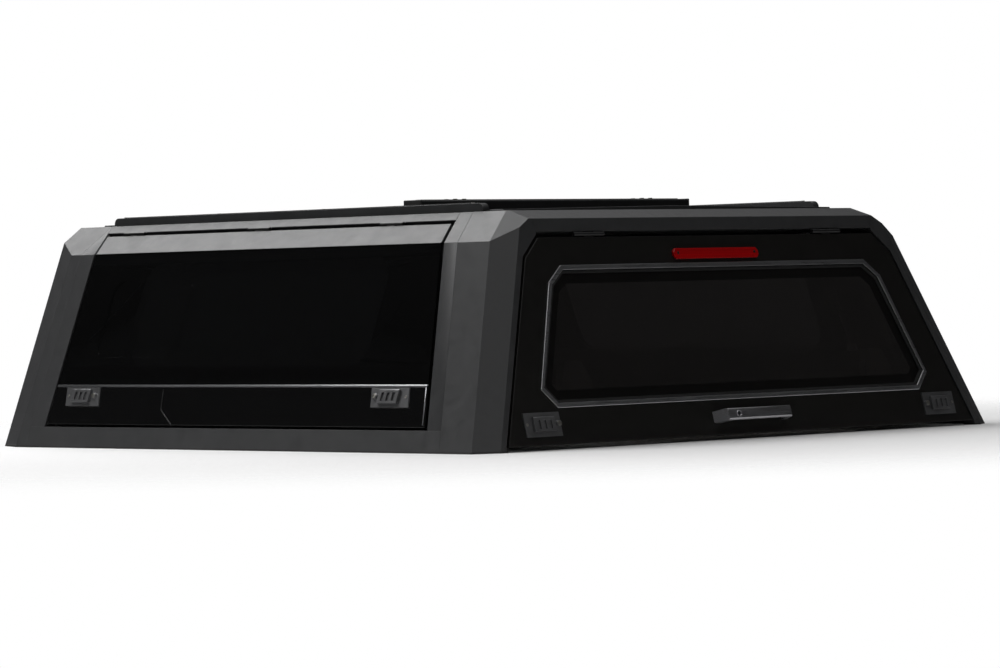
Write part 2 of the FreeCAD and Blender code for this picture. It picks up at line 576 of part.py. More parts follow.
def corner_pieces(side, prefix):
    """The rear corner with its bevels, and the front panel's corner."""
    behind_seam = [
        (side_line(SEAM_REAR, FLOOR), FLOOR),
        (side_line(SEAM_REAR, "shoulder_height"), "shoulder_height"),
        (side_line(SEAM_REAR, TOP), TOP),
        (f"({BACK}-50)", TOP),
        (f"({BACK}-50)", FLOOR),
    ]
    # The rear door's outline, moved outwards by its gap, is the corner's inner edge.
    rear_edge = [
        (REAR_FOOT_CLEAR, "0"),
        (REAR_FOOT_CLEAR, "rear_door_bottom"),
        (f"({REAR_FOOT_CLEAR}-({REAR_CORNER_CLEAR}-rear_door_bottom)*{EDGE_LOW})", REAR_CORNER_CLEAR),
        (REAR_HEAD_CLEAR, "rear_hinge_height"),
        (REAR_HEAD_CLEAR, TOP),
        ("base_width", TOP),
        ("base_width", "0"),
    ]
    outside_door = seen_from_behind([[(f"({side})*{x}", z) for x, z in rear_edge]])
    corner = common([frame_layer, seen_from_side(behind_seam, side), outside_door])
    sub_part(corner, f"{prefix}_rear_corner")
    ahead = [(SEAM_FRONT, FLOOR), (f"({FRONT}+50)", FLOOR), (f"({FRONT}+50)", TOP), (SEAM_FRONT, TOP)]
    beside_window = [
        ("front_window_half", "0"),
        ("base_width", "0"),
        ("base_width", TOP),
        ("front_window_half", TOP),
    ]
    front = common([frame_layer, seen_from_side(ahead, side),
                    seen_from_behind([[(f"({side})*{x}", z) for x, z in beside_window]])])
    sub_part(front, f"{prefix}_front_corner")


def mirrored_outline(half):
    """A symmetrical outline from its right half, listed from the top to the bottom."""
    return half + [(f"(-1)*{x}", z) for x, z in reversed(half)]


def front_panel():
    """Front wall under the window, header above it, and the glass between them."""
    ahead = [(SEAM_FRONT, FLOOR), (f"({FRONT}+50)", FLOOR), (f"({FRONT}+50)", TOP), (SEAM_FRONT, TOP)]

    def band(low, high, label, skin):
        region = mirrored_outline([("front_window_half", high), ("front_window_half", low)])
        return sub_part(common([skin, seen_from_side(ahead), seen_from_behind([region])]), label)

    band("0", "front_window_low", "front_wall", frame_layer)
    band("front_window_high", TOP, "front_header", frame_layer)
    upright = [(f"({FRONT}-wall)", "0"), (f"({FRONT}+50)", "0"), (f"({FRONT}+50)", TOP), (f"({FRONT}-wall)", TOP)]
    region = mirrored_outline([("front_window_half", "front_window_high"), ("front_window_half", "front_window_low")])
    pane = common([behind_glass, seen_from_side(upright), seen_from_behind([region])])
    thin = cut(pane, canopy_form("pane_back", "glass_wall*2"))
    sub_part(thin, "front_window_glass")


def rear_point(run, depth):
    """Y and Z of a point down the rear face from the hinge axis, at a depth behind that face."""
    y = f"({BACK}+rear_lean*rear_hinge_height-({run})*rear_lean/{LEAN_STRETCH}+({depth})/{LEAN_STRETCH})"
    z = f"(rear_hinge_height-({run})/{LEAN_STRETCH}-({depth})*rear_lean/{LEAN_STRETCH})"
    return y, z


def rear_header():
    """The beam above the rear door, with the strip of roof that joins it to the side frames."""
    region = [
        rear_point("-door_gap", "-50"),
        rear_point("-door_gap", "wall"),
        (side_line(SEAM_REAR, "(rear_hinge_height-30)"), "(rear_hinge_height-30)"),
        (side_line(SEAM_REAR, "shoulder_height"), "shoulder_height"),
        (side_line(SEAM_REAR, TOP), TOP),
        (f"({BACK}-50)", TOP),
    ]
    width = mirrored_outline([(REAR_HEAD_CLEAR, TOP), (REAR_HEAD_CLEAR, "0")])
    sub_part(common([frame_layer, seen_from_side(region), seen_from_behind([width])]), "rear_header")


def behind_door_end(side):
    """A block behind the side door's rear end, square to the upper facet.

    The door's end is square to the facet there, so that it clears the rear post as it swings.
    """
    start = V(side * size(facet_x("hinge_run")), size(side_line(DOOR_REAR, facet_z("hinge_run"))),
              size(facet_z("hinge_run")))
    shoulder = V(side * size("shoulder_width/2"), size(side_line(DOOR_REAR, "shoulder_height")),
                 size("shoulder_height"))
    along = shoulder - start
    along.normalize()
    inward = V(-side * size(FACET_DOWN), 0, -size(FACET_OUT))
    inward.normalize()
    backward = along.cross(inward)
    if backward.y > 0:
        backward = backward * -1
    return local_box("door_end", start, along, backward, ("-wall*6", "-wall*6", "0"), ("wall*6", "wall*6", "wall*2"))


def pane_block(side, shrink):
    """The opening pane's outline in the side glass, with round corners, as a block across the skin."""
    x_low, x_high = ("0", "base_width") if side > 0 else ("(-base_width)", "0")
    block = box("pane", (x_low, f"({BACK}+pane_rear+{shrink})", f"(pane_low+{shrink})"),
                (x_high, f"({BACK}+pane_front-{shrink})", f"(pane_high-{shrink})"))
    return rounded(block, f"(pane_radius-{shrink})", lambda edge: along(edge, V(1, 0, 0)))


def seam_outline():
    """The seam between the two sheets of the lower panel, with its knee, seen from the side."""
    lines = [("seam_head", "belt_height"), ("seam_knee", "seam_height"), ("seam_foot", DOOR_BOTTOM)]
    front = [(f"({BACK}+{y}+groove_width/2)", z) for y, z in lines]
    rear = [(f"({BACK}+{y}-groove_width/2)", z) for y, z in reversed(lines)]
    return front + rear


def side_door(side, prefix):
    """Steel frame with its grey upper facet, glass and gloss lower panel."""
    beyond_hinge = seen_from_behind(below_hinge(side, "door_gap"))

    def piece(skin, low, high, rear_shift="0", front_shift="0", rear=DOOR_REAR, front=DOOR_FRONT_BASE):
        region = upright_region(rear, front, low, high, rear_shift, front_shift)
        return common([skin, seen_from_side(region, side), beyond_hinge])

    top = fuse([
        piece(door_layer, "shoulder_height", TOP),
        piece(behind_glass, "inner_top_height", "shoulder_height"),
    ])
    sub_part(cut(top, behind_door_end(side)), f"{prefix}_door_top_rail")
    glass = piece(glass_layer, "belt_height", "shoulder_height")
    pane_groove = common([groove_layer, cut(pane_block(side, "0"), pane_block(side, "groove_width"))])
    sub_part(cut(glass, pane_groove), f"{prefix}_door_glass")
    panel = fuse([
        piece(panel_layer, DOOR_BOTTOM, "belt_height"),
        piece(behind_glass, "belt_height", "inner_sill_height"),
        piece(layer(panel_back, door_back), "(belt_height-panel_rim)", "belt_height"),
    ])
    seam = common([groove_layer, seen_from_side(seam_outline(), side)])
    sub_part(cut(panel, seam), f"{prefix}_door_lower_panel")
    rear_foot, rear_head = (side_line(DOOR_REAR, z) for z in ("inner_sill_height", "inner_top_height"))
    front_inner = f"({DOOR_FRONT_BASE}-inner_stile_width)"
    rear_inner = f"({rear_foot}+inner_stile_width)"
    band = [
        (rear_foot, "inner_sill_height"),
        (DOOR_FRONT_BASE, "inner_sill_height"),
        (DOOR_FRONT_BASE, "inner_top_height"),
        (rear_head, "inner_top_height"),
    ]
    opening = box("opening", ("(-base_width)", rear_inner, "inner_sill_height"),
                  ("base_width", front_inner, "inner_top_height"))
    opening = rounded(opening, "inner_corner_radius", lambda edge: along(edge, V(1, 0, 0)))
    stiles = cut(common([behind_glass, seen_from_side(band, side)]), opening)
    sub_part(stiles, f"{prefix}_door_stiles")


def rear_region(low, high, depth_front, depth_back):
    """A slab of the side view that follows the leaning rear face."""
    return [
        (f"({BACK}+rear_lean*({low})+({depth_front})*{LEAN_STRETCH})", low),
        (f"({BACK}+rear_lean*({low})+({depth_back})*{LEAN_STRETCH})", low),
        (f"({BACK}+rear_lean*({high})+({depth_back})*{LEAN_STRETCH})", high),
        (f"({BACK}+rear_lean*({high})+({depth_front})*{LEAN_STRETCH})", high),
    ]


def window_outline(shrink):
    """The rear window's eight-sided outline, moved inwards."""
    return mirrored_outline([
        (f"(window_top_half-0.4*({shrink}))", f"(window_top-({shrink}))"),
        (f"(window_high_half-({shrink}))", f"(window_high-0.4*({shrink}))"),
        (f"(window_low_half-({shrink}))", f"(window_low+0.4*({shrink}))"),
        (f"(window_bottom_half-0.4*({shrink}))", f"(window_bottom+({shrink}))"),
    ])


def rear_door():
    outline = mirrored_outline([
        ("rear_door_head", "rear_hinge_height"),
        ("rear_door_corner", "rear_door_corner_height"),
        ("rear_door_foot", "rear_door_bottom"),
    ])
    slab = seen_from_side([
        rear_point("door_gap", "0"),
        rear_point("door_gap", "door_depth"),
        rear_point("rear_hinge_height*2", "door_depth"),
        rear_point("rear_hinge_height*2", "0"),
    ])
    panel = common([slab, seen_from_behind([outline])])
    window_hole = seen_from_behind([window_outline("trim_width")])
    sub_part(cut(panel, window_hole), "rear_door_panel")
    # The pane sits in the window hole, a little behind the outer face.
    pane_slab = seen_from_side(rear_region("0", TOP, "door_depth*0.2", "door_depth*0.2+glass_wall"))
    sub_part(common([pane_slab, seen_from_behind([window_outline("trim_width")])]), "rear_window_glass")
    trim_slab = seen_from_side(rear_region("0", TOP, "-trim_proud", "0"))
    ring = seen_from_behind([window_outline("0"), window_outline("trim_width")])
    sub_part(common([trim_slab, ring]), "rear_window_trim")
    lamp_slab = seen_from_side(rear_region("0", TOP, "-lamp_proud", "0"))
    lamp = mirrored_outline([
        ("(lamp_length/2-lamp_tall*0.3)", "(lamp_low+lamp_tall)"),
        ("(lamp_length/2)", "(lamp_low+lamp_tall*0.7)"),
        ("(lamp_length/2)", "(lamp_low+lamp_tall*0.3)"),
        ("(lamp_length/2-lamp_tall*0.3)", "lamp_low"),
    ])
    sub_part(common([lamp_slab, seen_from_behind([lamp])]), "brake_light")
    mechanism_slab = seen_from_side(rear_region("0", TOP, "door_depth", "door_depth+inner_latch_depth"))
    outlines = []
    for side in (-1, 1):
        outer = "(inner_latch_half+inner_latch_width)"
        outline = [
            ("inner_latch_half", "inner_latch_low"),
            (outer, "inner_latch_low"),
            (outer, "inner_latch_neck"),
            (f"({outer}-inner_latch_taper)", "inner_latch_high"),
            ("(inner_latch_half+inner_latch_taper)", "inner_latch_high"),
            ("inner_latch_half", "inner_latch_neck"),
        ]
        outlines.append([(f"({side})*{x}", z) for x, z in outline])
    sub_part(common([mechanism_slab, seen_from_behind(outlines)]), "rear_door_inner_latches")


def roof():
    """Roof sheet with a crown, a rail on each side and the bar across it."""
    half = "roof_panel_half"
    profile = [
        (f"(-1)*{half}", "roof_height"),
        (half, "roof_height"),
        (half, "(roof_height+roof_sheet)"),
        ("0", "(roof_height+roof_sheet+roof_crown)"),
        (f"(-1)*{half}", "(roof_height+roof_sheet)"),
    ]
    span = [
        (f"({BACK}+roof_panel_rear)", "0"),
        (f"({FRONT}-roof_panel_front)", "0"),
        (f"({FRONT}-roof_panel_front)", "(roof_height*2)"),
        (f"({BACK}+roof_panel_rear)", "(roof_height*2)"),
    ]
    sheet_solid = common([seen_from_behind([profile]), seen_from_side(span)])
    sub_part(sheet_solid, "roof_panel")


def box(stem, low, high):
    """A block between two corners, each given as three expressions."""
    block = doc.addObject("Part::Box", name_for(stem))
    for side_name, axis, a, b in zip(("Length", "Width", "Height"), "xyz", low, high):
        block.setExpression(side_name, bound(f"({b})-({a})"))
        block.setExpression(f"Placement.Base.{axis}", bound(a))
    return block


def cylinder(stem, radius, length, base, direction):
    """A round bar: its base point and direction are worked out from the sheet."""
    bar = doc.addObject("Part::Cylinder", name_for(stem))
    bar.setExpression("Radius", bound(radius))
    bar.setExpression("Height", bound(length))
    bar.Placement = FreeCAD.Placement(V(*base), FreeCAD.Rotation(V(0, 0, 1), V(*direction)))
    return bar


def compound(objects, stem="group"):
    group = doc.addObject("Part::Compound", name_for(stem))
    group.Links = objects
    return group


def roof_fittings():
    """The two rails and the bar across the roof, seated on the sheet."""
    rails = []
    for side in (-1, 1):
        middle = f"({side}*rail_half)"
        rail = box("rail", (f"({middle}-rail_width/2)", f"({BACK}+rail_rear)", "roof_height"),
                   (f"({middle}+rail_width/2)", f"({FRONT}-rail_front)", "(roof_height+rail_height)"))
        rails.append(rounded(rail, "rail_end_radius", lambda edge: along(edge, V(1, 0, 0)) and on_top(edge, rail)))
    sub_part(cut(compound(rails), roof_sheet_solid), "roof_rails")
    place = f"({BACK}+bar_place)"
    plank = box("bar", ("(-bar_length/2)", f"({place}-bar_wide/2)", "(roof_height+bar_foot)"),
                ("(bar_length/2)", f"({place}+bar_wide/2)", "(roof_height+bar_foot+bar_tall)"))
    plank = rounded(plank, "bar_edge_radius", lambda edge: along(edge, V(1, 0, 0)))
    feet = []
    for side in (-1, 1):
        foot = f"({side}*bar_foot_half)"
        feet.append(box("foot", (f"({foot}-bar_foot_length/2)", f"({place}-bar_foot_wide/2)", "roof_height"),
                        (f"({foot}+bar_foot_length/2)", f"({place}+bar_foot_wide/2)", "(roof_height+bar_foot)")))
    sub_part(fuse([plank, cut(fuse(feet), roof_sheet_solid)]), "roof_bar")


def along(edge, direction):
    """Whether a straight edge runs along a direction."""
    line = edge.Vertexes[-1].Point - edge.Vertexes[0].Point
    return len(edge.Vertexes) == 2 and line.cross(direction).Length < 1e-6 * line.Length


def on_top(edge, feature):
    """Whether an edge lies at the highest level of its solid."""
    return edge.BoundBox.ZMin > feature.Shape.BoundBox.ZMax - 1e-6


def rounded(feature, radius, chosen):
    """A solid with its chosen edges rounded."""
    doc.recompute()
    result = doc.addObject("Part::Fillet", name_for("rounded"))
    result.Base = feature
    value = size(radius)
    result.Edges = [(number, value, value) for number, edge in enumerate(feature.Shape.Edges, 1) if chosen(edge)]
    return result


def local_box(stem, origin, x_dir, z_dir, low, high):
    """A block in a frame of its own: sizes bound to the sheet, place worked out from it."""
    block = doc.addObject("Part::Box", name_for(stem))
    for side_name, a, b in zip(("Length", "Width", "Height"), low, high):
        block.setExpression(side_name, bound(f"({b})-({a})"))
    y_dir = z_dir.cross(x_dir)
    turn = FreeCAD.Rotation(x_dir, y_dir, z_dir, "XZY")
    corner = V(*(size(a) for a in low))
    block.Placement = FreeCAD.Placement(origin + turn.multVec(corner), turn)
    return block


def hinge(middle, axis, away, width):
    """One hinge: its frame leaf with the pin, and its door leaf. away points down the door."""
    inward = axis.cross(away)
    if inward.z > 0:
        inward = inward * -1
        axis = axis * -1
    third = f"({width}/3)"
    frame_pieces = []
    for sign in (-1, 1):
        centre = middle + axis * (sign * size(third))
        frame_pieces.append(cylinder("frame_knuckle", "knuckle_radius", third, centre - axis * (size(third) / 2), axis))
        frame_pieces.append(local_box("frame_web", centre, away, inward,
                                      ("-door_gap", f"(-{third}/2)", "0"), ("0", f"({third}/2)", "hinge_leaf")))
    frame_pieces.append(cylinder("hinge_pin", "hinge_pin_radius", width, middle - axis * (size(width) / 2), axis))
    inner = f"({third}-2*hinge_play)"
    start = middle - axis * (size(inner) / 2)
    knuckle = fuse([
        cylinder("door_knuckle", "knuckle_radius", inner, start, axis),
        local_box("door_web", middle, away, inward, ("0", f"(-{inner}/2)", "0"), ("door_gap", f"({inner}/2)", "hinge_leaf")),
    ])
    bore = cylinder("hinge_bore", "hinge_pin_radius+pin_clearance", width, middle - axis * (size(width) / 2), axis)
    return fuse(frame_pieces, "frame_leaf"), cut(knuckle, bore, "door_leaf")


def side_hinge_axis(side):
    """A point on a side door's hinge axis, at the middle of the canopy's length."""
    return V(side * size(facet_x("hinge_run")), 0, size(facet_z("hinge_run")))


def rear_hinge_axis():
    y, z = rear_point("0", "0")
    return V(0, size(y), size(z))


def hinges():
    frame_leaves = []
    for side, prefix in SIDES:
        away = V(side * size(FACET_OUT), 0, -size(FACET_DOWN))
        away.normalize()
        door_leaves = []
        for step in range(3):
            middle = side_hinge_axis(side) + V(0, size(f"{BACK}+side_hinge_rear+{step}*side_hinge_pitch"), 0)
            frame_leaf, door_leaf = hinge(middle, V(0, 1, 0), away, "hinge_width")
            frame_leaves.append(frame_leaf)
            door_leaves.append(door_leaf)
        sub_part(compound(door_leaves), f"{prefix}_door_hinge_leaves")
    away = V(0, -size("rear_lean"), -1)
    away.normalize()
    door_leaves = []
    for side in (-1, 1):
        middle = rear_hinge_axis() + V(side * size("rear_hinge_half"), 0, 0)
        frame_leaf, door_leaf = hinge(middle, V(1, 0, 0), away, "rear_hinge_width")
        frame_leaves.append(frame_leaf)
        door_leaves.append(door_leaf)
    sub_part(compound(door_leaves), "rear_door_hinge_leaves")
    sub_part(compound(frame_leaves), "frame_hinge_leaves")


def turned(point, origin, axis, degrees):
    return origin + FreeCAD.Rotation(axis, degrees).multVec(point - origin)


def strut(frame_point, door_point, hinge_point, hinge_axis, degrees, report):
    """A gas strut between two balls. Its swing and stroke follow from the door's opening angle."""
    opened = turned(door_point, hinge_point, hinge_axis, degrees)
    closed_line = door_point - frame_point
    open_line = opened - frame_point
    swing_axis = closed_line.cross(open_line)
    swing_axis.normalize()
    swing = math.degrees(closed_line.getAngle(open_line))
    stroke = open_line.Length - closed_line.Length
    report.append((frame_point, door_point, swing_axis, swing, closed_line, stroke))
    length = closed_line.Length
    along = V(closed_line)
    along.normalize()
    place = FreeCAD.Placement(frame_point, FreeCAD.Rotation(V(0, 0, 1), along))
    ball, rod, tube = "strut_ball_radius", "strut_rod_radius", "strut_radius"
    tube_end = f"(strut_tube_share*{length:.6f})"
    hollow_from = f"({tube_end}-{stroke:.6f}-strut_ball_radius*4)"
    rod_from = f"({hollow_from}+strut_play)"
    barrel = revolved("strut_tube", [
        ("0", "0"),
        (rod, "0"),
        (rod, f"({ball}*2)"),
        (tube, f"({ball}*2.5)"),
        (tube, tube_end),
        (f"({rod}+strut_play)", tube_end),
        (f"({rod}+strut_play)", hollow_from),
        ("0", hollow_from),
    ], place)
    plunger = revolved("strut_rod", [
        ("0", rod_from),
        (rod, rod_from),
        (rod, f"{length:.6f}"),
        ("0", f"{length:.6f}"),
    ], place)
    return fuse([barrel, ball_at(frame_point)]), fuse([plunger, ball_at(door_point)])


def ball_at(centre):
    sphere = doc.addObject("Part::Sphere", name_for("ball"))
    sphere.setExpression("Radius", bound("strut_ball_radius"))
    sphere.Placement.Base = centre
    return sphere


def revolved(stem, profile, place):
    """A turned piece: its profile is given as radius and distance along its axis."""
    body = doc.addObject("PartDesign::Body", name_for(stem))
    sketch = outline_sketch(body, "XZ_Plane", [profile])
    turn = body.newObject("PartDesign::Revolution", body.Name + "_turn")
    turn.Profile = sketch
    turn.ReferenceAxis = (sketch, ["V_Axis"])
    turn.Angle = 360
    body.Placement = place
    return body


def struts(report):
    brackets = []
    for side, prefix in SIDES:
        axis_point = side_hinge_axis(side)
        axis = V(0, -side, 0)
        tubes, rods, studs = [], [], []
        for place in ("side_strut_rear", "side_strut_front"):
            y = size(f"{BACK}+{place}")
            axis_half = abs(axis_point.x)
            upper = V(side * (axis_half - size("side_strut_top_in")), y, axis_point.z - size("side_strut_top_down"))
            lower = V(side * (axis_half + size("side_strut_low_out")), y, axis_point.z - size("side_strut_low_down"))
            tube, rod = strut(upper, lower, axis_point, axis, size("side_door_angle"), report)
            tubes.append(tube)
            rods.append(rod)
            brackets.append(stud_plate(upper, V(0, 1, 0), V(0, 0, 1), "frame_bracket_reach", frame_layer))
            studs.append(stud_plate(lower, V(0, 1, 0), V(side, 0, 0), "door_bracket_reach", door_layer))
        sub_part(compound(tubes), f"{prefix}_door_strut_tubes")
        sub_part(compound(rods), f"{prefix}_door_strut_rods")
        sub_part(compound(studs), f"{prefix}_door_strut_studs")
    studs = []
    for side, prefix in SIDES:
        frame_point = V(side * size("rear_strut_frame_half"), size(f"{BACK}+rear_strut_frame_ahead"),
                        size("rear_strut_frame_height"))
        door_point = V(side * size("rear_strut_door_half"),
                       size(f"{BACK}+rear_lean*rear_strut_door_height+rear_strut_door_depth*{LEAN_STRETCH}"),
                       size("rear_strut_door_height"))
        tube, rod = strut(frame_point, door_point, rear_hinge_axis(), V(-1, 0, 0), size("rear_door_angle"), report)
        brackets.append(stud_post(frame_point, V(side, 0, 0), "rear_post_reach", frame_layer))
        studs.append(stud_plate(door_point, V(-side, 0, 0), V(0, -1, 0), "rear_bracket_reach", rear_door_slab,
                                "rear_stud_play"))
        sub_part(tube, f"rear_{prefix}_strut_tube")
        sub_part(rod, f"rear_{prefix}_strut_rod")
    sub_part(compound(studs), "rear_door_strut_studs")
    sub_part(compound(brackets), "frame_strut_brackets")


def stud_plate(ball_centre, sideways, towards, reach, carrier, play="strut_play"):
    """A bracket plate beside a strut's ball, with the stud that points at the ball."""
    gap = f"(strut_ball_radius+{play})"
    plate_from = f"({gap}+strut_stud_length)"
    post = cylinder("stud", "strut_stud_radius", "strut_stud_length", ball_centre + sideways * size(gap), sideways)
    plate = local_box("bracket", ball_centre, sideways, towards,
                      (plate_from, "(-1)*strut_radius", "(-1)*strut_ball_radius"),
                      (f"({plate_from}+strut_plate)", "strut_radius", reach))
    return cut(fuse([post, plate]), carrier, "strut_bracket")


def stud_post(ball_centre, sideways, reach, carrier):
    """A round post from the frame to a strut's ball, with a wide foot on the frame."""
    gap = "(strut_ball_radius+strut_play)"
    post = cylinder("stud", "post_radius", f"({reach}-{gap})", ball_centre + sideways * size(gap), sideways)
    foot_start = ball_centre + sideways * size(f"({reach}-post_foot_length)")
    foot = cylinder("foot", "post_foot_radius", "post_foot_length", foot_start, sideways)
    return cut(fuse([post, foot]), carrier, "strut_bracket")


def latches():
    """Latch plates on the doors' faces, each with its paddle."""
    plate_skin = layer(canopy_form("plate_front", "-latch_wall"), outer_form)

    def lozenge(middle, low, length, tall, lean):
        return [
            (f"({middle}-{length}/2-{lean}/2)", low),
            (f"({middle}+{length}/2-{lean}/2)", low),
            (f"({middle}+{length}/2+{lean}/2)", f"({low}+{tall})"),
            (f"({middle}-{length}/2+{lean}/2)", f"({low}+{tall})"),
        ]

    for side, prefix in SIDES:
        plates = []
        down = V(side * size(SIDE_LEAN), 0, -1)
        face = V(side, 0, size(SIDE_LEAN))
        for place, end, inward in (("side_latch_rear", "rear", 1), ("side_latch_front", "front", -1)):
            middle = f"({BACK}+{place}+latch_length/2)"
            centre_height = "(side_latch_low+latch_tall/2)"
            centre = V(side * size(f"base_width/2-{SIDE_LEAN}*{centre_height}"), size(middle), size(centre_height))
            outline = lozenge(middle, "side_latch_low", "latch_length", "latch_tall", "latch_lean")
            plate = common([plate_skin, seen_from_side(outline, side)])
            plates.append(fuse([plate, lock(centre + V(0, inward * size("lock_place"), 0), face)]))
            paddle(f"{prefix}_door_{end}_paddle", centre, down, face, V(0, -side, 0))
        sub_part(compound(plates), f"{prefix}_door_latch_plates")
    behind_only = seen_from_side([(f"(2*{BACK})", "0"), ("0", "0"), ("0", TOP), (f"(2*{BACK})", TOP)])
    plates = []
    down = V(0, -size("rear_lean"), -1)
    face = V(0, -1, size("rear_lean"))
    for side, prefix in SIDES:
        middle = f"({side}*rear_latch_half)"
        centre_height = "(rear_latch_low+rear_latch_tall/2)"
        centre = V(size(middle), size(f"{BACK}+rear_lean*{centre_height}"), size(centre_height))
        outline = lozenge(middle, "rear_latch_low", "rear_latch_length", "rear_latch_tall", "0")
        plate = common([plate_skin, seen_from_behind([outline]), behind_only])
        plates.append(fuse([plate, lock(centre - V(side * size("lock_place"), 0, 0), face)]))
        paddle(f"rear_door_{prefix}_paddle", centre, down, face, V(-1, 0, 0))
    sub_part(compound(plates), "rear_door_latch_plates")


def lock(centre, face):
    """The round lock cylinder beside a paddle."""
    return cylinder("lock", "lock_radius", "latch_wall+lock_proud", centre, face)


def paddle(label, centre, down, face, axis):
    """A latch paddle that turns about its round upper edge, with three finger slots."""
    down.normalize()
    face.normalize()
    across = axis * (size("paddle_length") / 2)
    pivot = centre + face * size("latch_wall+paddle_play+paddle_wall/2") - down * size("(paddle_tall-paddle_wall)/2")
    plate = local_box("paddle", pivot, down, face, ("0", "(-paddle_length/2)", "(-paddle_wall/2)"),
                      ("(paddle_tall-paddle_wall/2)", "paddle_length/2", "paddle_wall/2"))
    barrel = cylinder("paddle_pivot", "paddle_wall/2", "paddle_length", pivot - across, axis)
    slots = []
    for step in (-1, 0, 1):
        place = f"({step}*slot_pitch)"
        slots.append(local_box("slot", pivot, down, face,
                               ("slot_margin", f"({place}-slot_width/2)", "(paddle_wall/2-slot_depth)"),
                               ("(paddle_tall-paddle_wall/2-slot_margin)", f"({place}+slot_width/2)", "paddle_wall")))
    sub_part(cut(fuse([plate, barrel]), fuse(slots, "slots")), label)
    paddle_facts.append((label, pivot, axis))


def rear_handle():
    """A bridge handle that stands out from the rear door."""
    body = doc.addObject("PartDesign::Body", "handle")
    half, reach, rod = "handle_length/2", "handle_reach", "handle_rod"
    slope = "handle_slope"
    sketch = outline_sketch(body, "XY_Plane", [[
        (f"({half})", "0"),
        (f"({half}-{slope})", f"({reach})"),
        (f"(-{half}+{slope})", f"({reach})"),
        (f"(-{half})", "0"),
        (f"(-{half}+{slope})", "0"),
        (f"(-{half}+{slope}*2)", f"({reach}-{rod})"),
        (f"({half}-{slope}*2)", f"({reach}-{rod})"),
        (f"({half}-{slope})", "0"),
    ]])
    pad = body.newObject("PartDesign::Pad", "handle_pad")
    pad.Profile = sketch
    pad.Midplane = True
    pad.setExpression("Length", bound("handle_tall"))
    outward_dir = V(0, -1, size("rear_lean"))
    outward_dir.normalize()
    x_dir = V(-1, 0, 0)
    turn = FreeCAD.Rotation(x_dir, outward_dir, x_dir.cross(outward_dir), "XYZ")
    place_on_face = V(0, size(f"{BACK}+rear_lean*handle_height"), size("handle_height"))
    body.Placement = FreeCAD.Placement(place_on_face, turn)
    bar = rounded(body, "handle_round", lambda edge: along(edge, x_dir) and edge.BoundBox.YMax < place_on_face.y - 1)
    eye = place_on_face - V(size("handle_eye_place"), 0, 0)
    hole = cylinder("handle_eye", "handle_eye_radius", "handle_reach*2", eye, outward_dir)
    sub_part(cut(bar, hole), "rear_door_handle")


def base_seals():
    """Rubber strips between the frame and the bed rails."""
    strips = []
    inner = "(rear_door_foot+door_gap)"
    not_door = [(inner, "-10"), ("base_width", "-10"), ("base_width", TOP), (inner, TOP)]
    for side, prefix in SIDES:
        run = [(f"({BACK}-50)", "0"), (f"({SEAM_FRONT}-1)", "0"), (f"({SEAM_FRONT}-1)", FLOOR), (f"({BACK}-50)", FLOOR)]
        beside_door = seen_from_behind([[(f"({side})*{x}", z) for x, z in not_door]])
        strips.append(common([frame_layer, seen_from_side(run, side), beside_door]))
    run = [(SEAM_FRONT, "0"), (f"({FRONT}+50)", "0"), (f"({FRONT}+50)", FLOOR), (SEAM_FRONT, FLOOR)]
    strips.append(common([frame_layer, seen_from_side(run)]))
    sub_part(compound(strips), "base_seals")


SIDES = ((-1, "left"), (1, "right"))
for side_sign, side_name in SIDES:
    side_frame(side_sign, side_name)
    corner_pieces(side_sign, side_name)
    side_door(side_sign, side_name)
front_panel()
rear_header()
rear_door_slab = seen_from_side(rear_region("0", TOP, "-60", "door_depth"))
rear_door()
roof()
roof_sheet_solid = SUB_PARTS[-1]
roof_fittings()
hinges()
strut_facts = []
paddle_facts = []
struts(strut_facts)
latches()
rear_handle()
base_seals()


def finish():
    doc.recompute()
    for obj in doc.Objects:
        if "Invalid" in obj.State or "Error" in obj.State:
            raise RuntimeError(f"{obj.Name} ({obj.Label}) failed: {obj.State}")
    os.makedirs("parts", exist_ok=True)
    for feature in SUB_PARTS:
        shape = feature.Shape
        if shape.isNull() or not shape.isValid() or not shape.Solids:
            raise RuntimeError(f"{feature.Label} has no valid shape")
        shape.exportStep(os.path.join("parts", feature.Label + ".step"))
        box_size = shape.BoundBox
        print(feature.Label, len(shape.Solids), round(shape.Volume / 1000), [round(x, 1) for x in (
            box_size.XMin, box_size.XMax, box_size.YMin, box_size.YMax, box_size.ZMin, box_size.ZMax)])
    for frame_point, door_point, swing_axis, swing, line, stroke in strut_facts:
        print("strut", *(tuple(round(c, 8) for c in v) for v in (frame_point, door_point, swing_axis)),
              round(swing, 6), tuple(round(c, 6) for c in line), round(stroke, 6))
    print("side hinge", *side_hinge_axis(1), "rear hinge", *rear_hinge_axis())
    for label, pivot, axis in paddle_facts:
        print("paddle_pivot", label, *pivot, *axis)


finish()
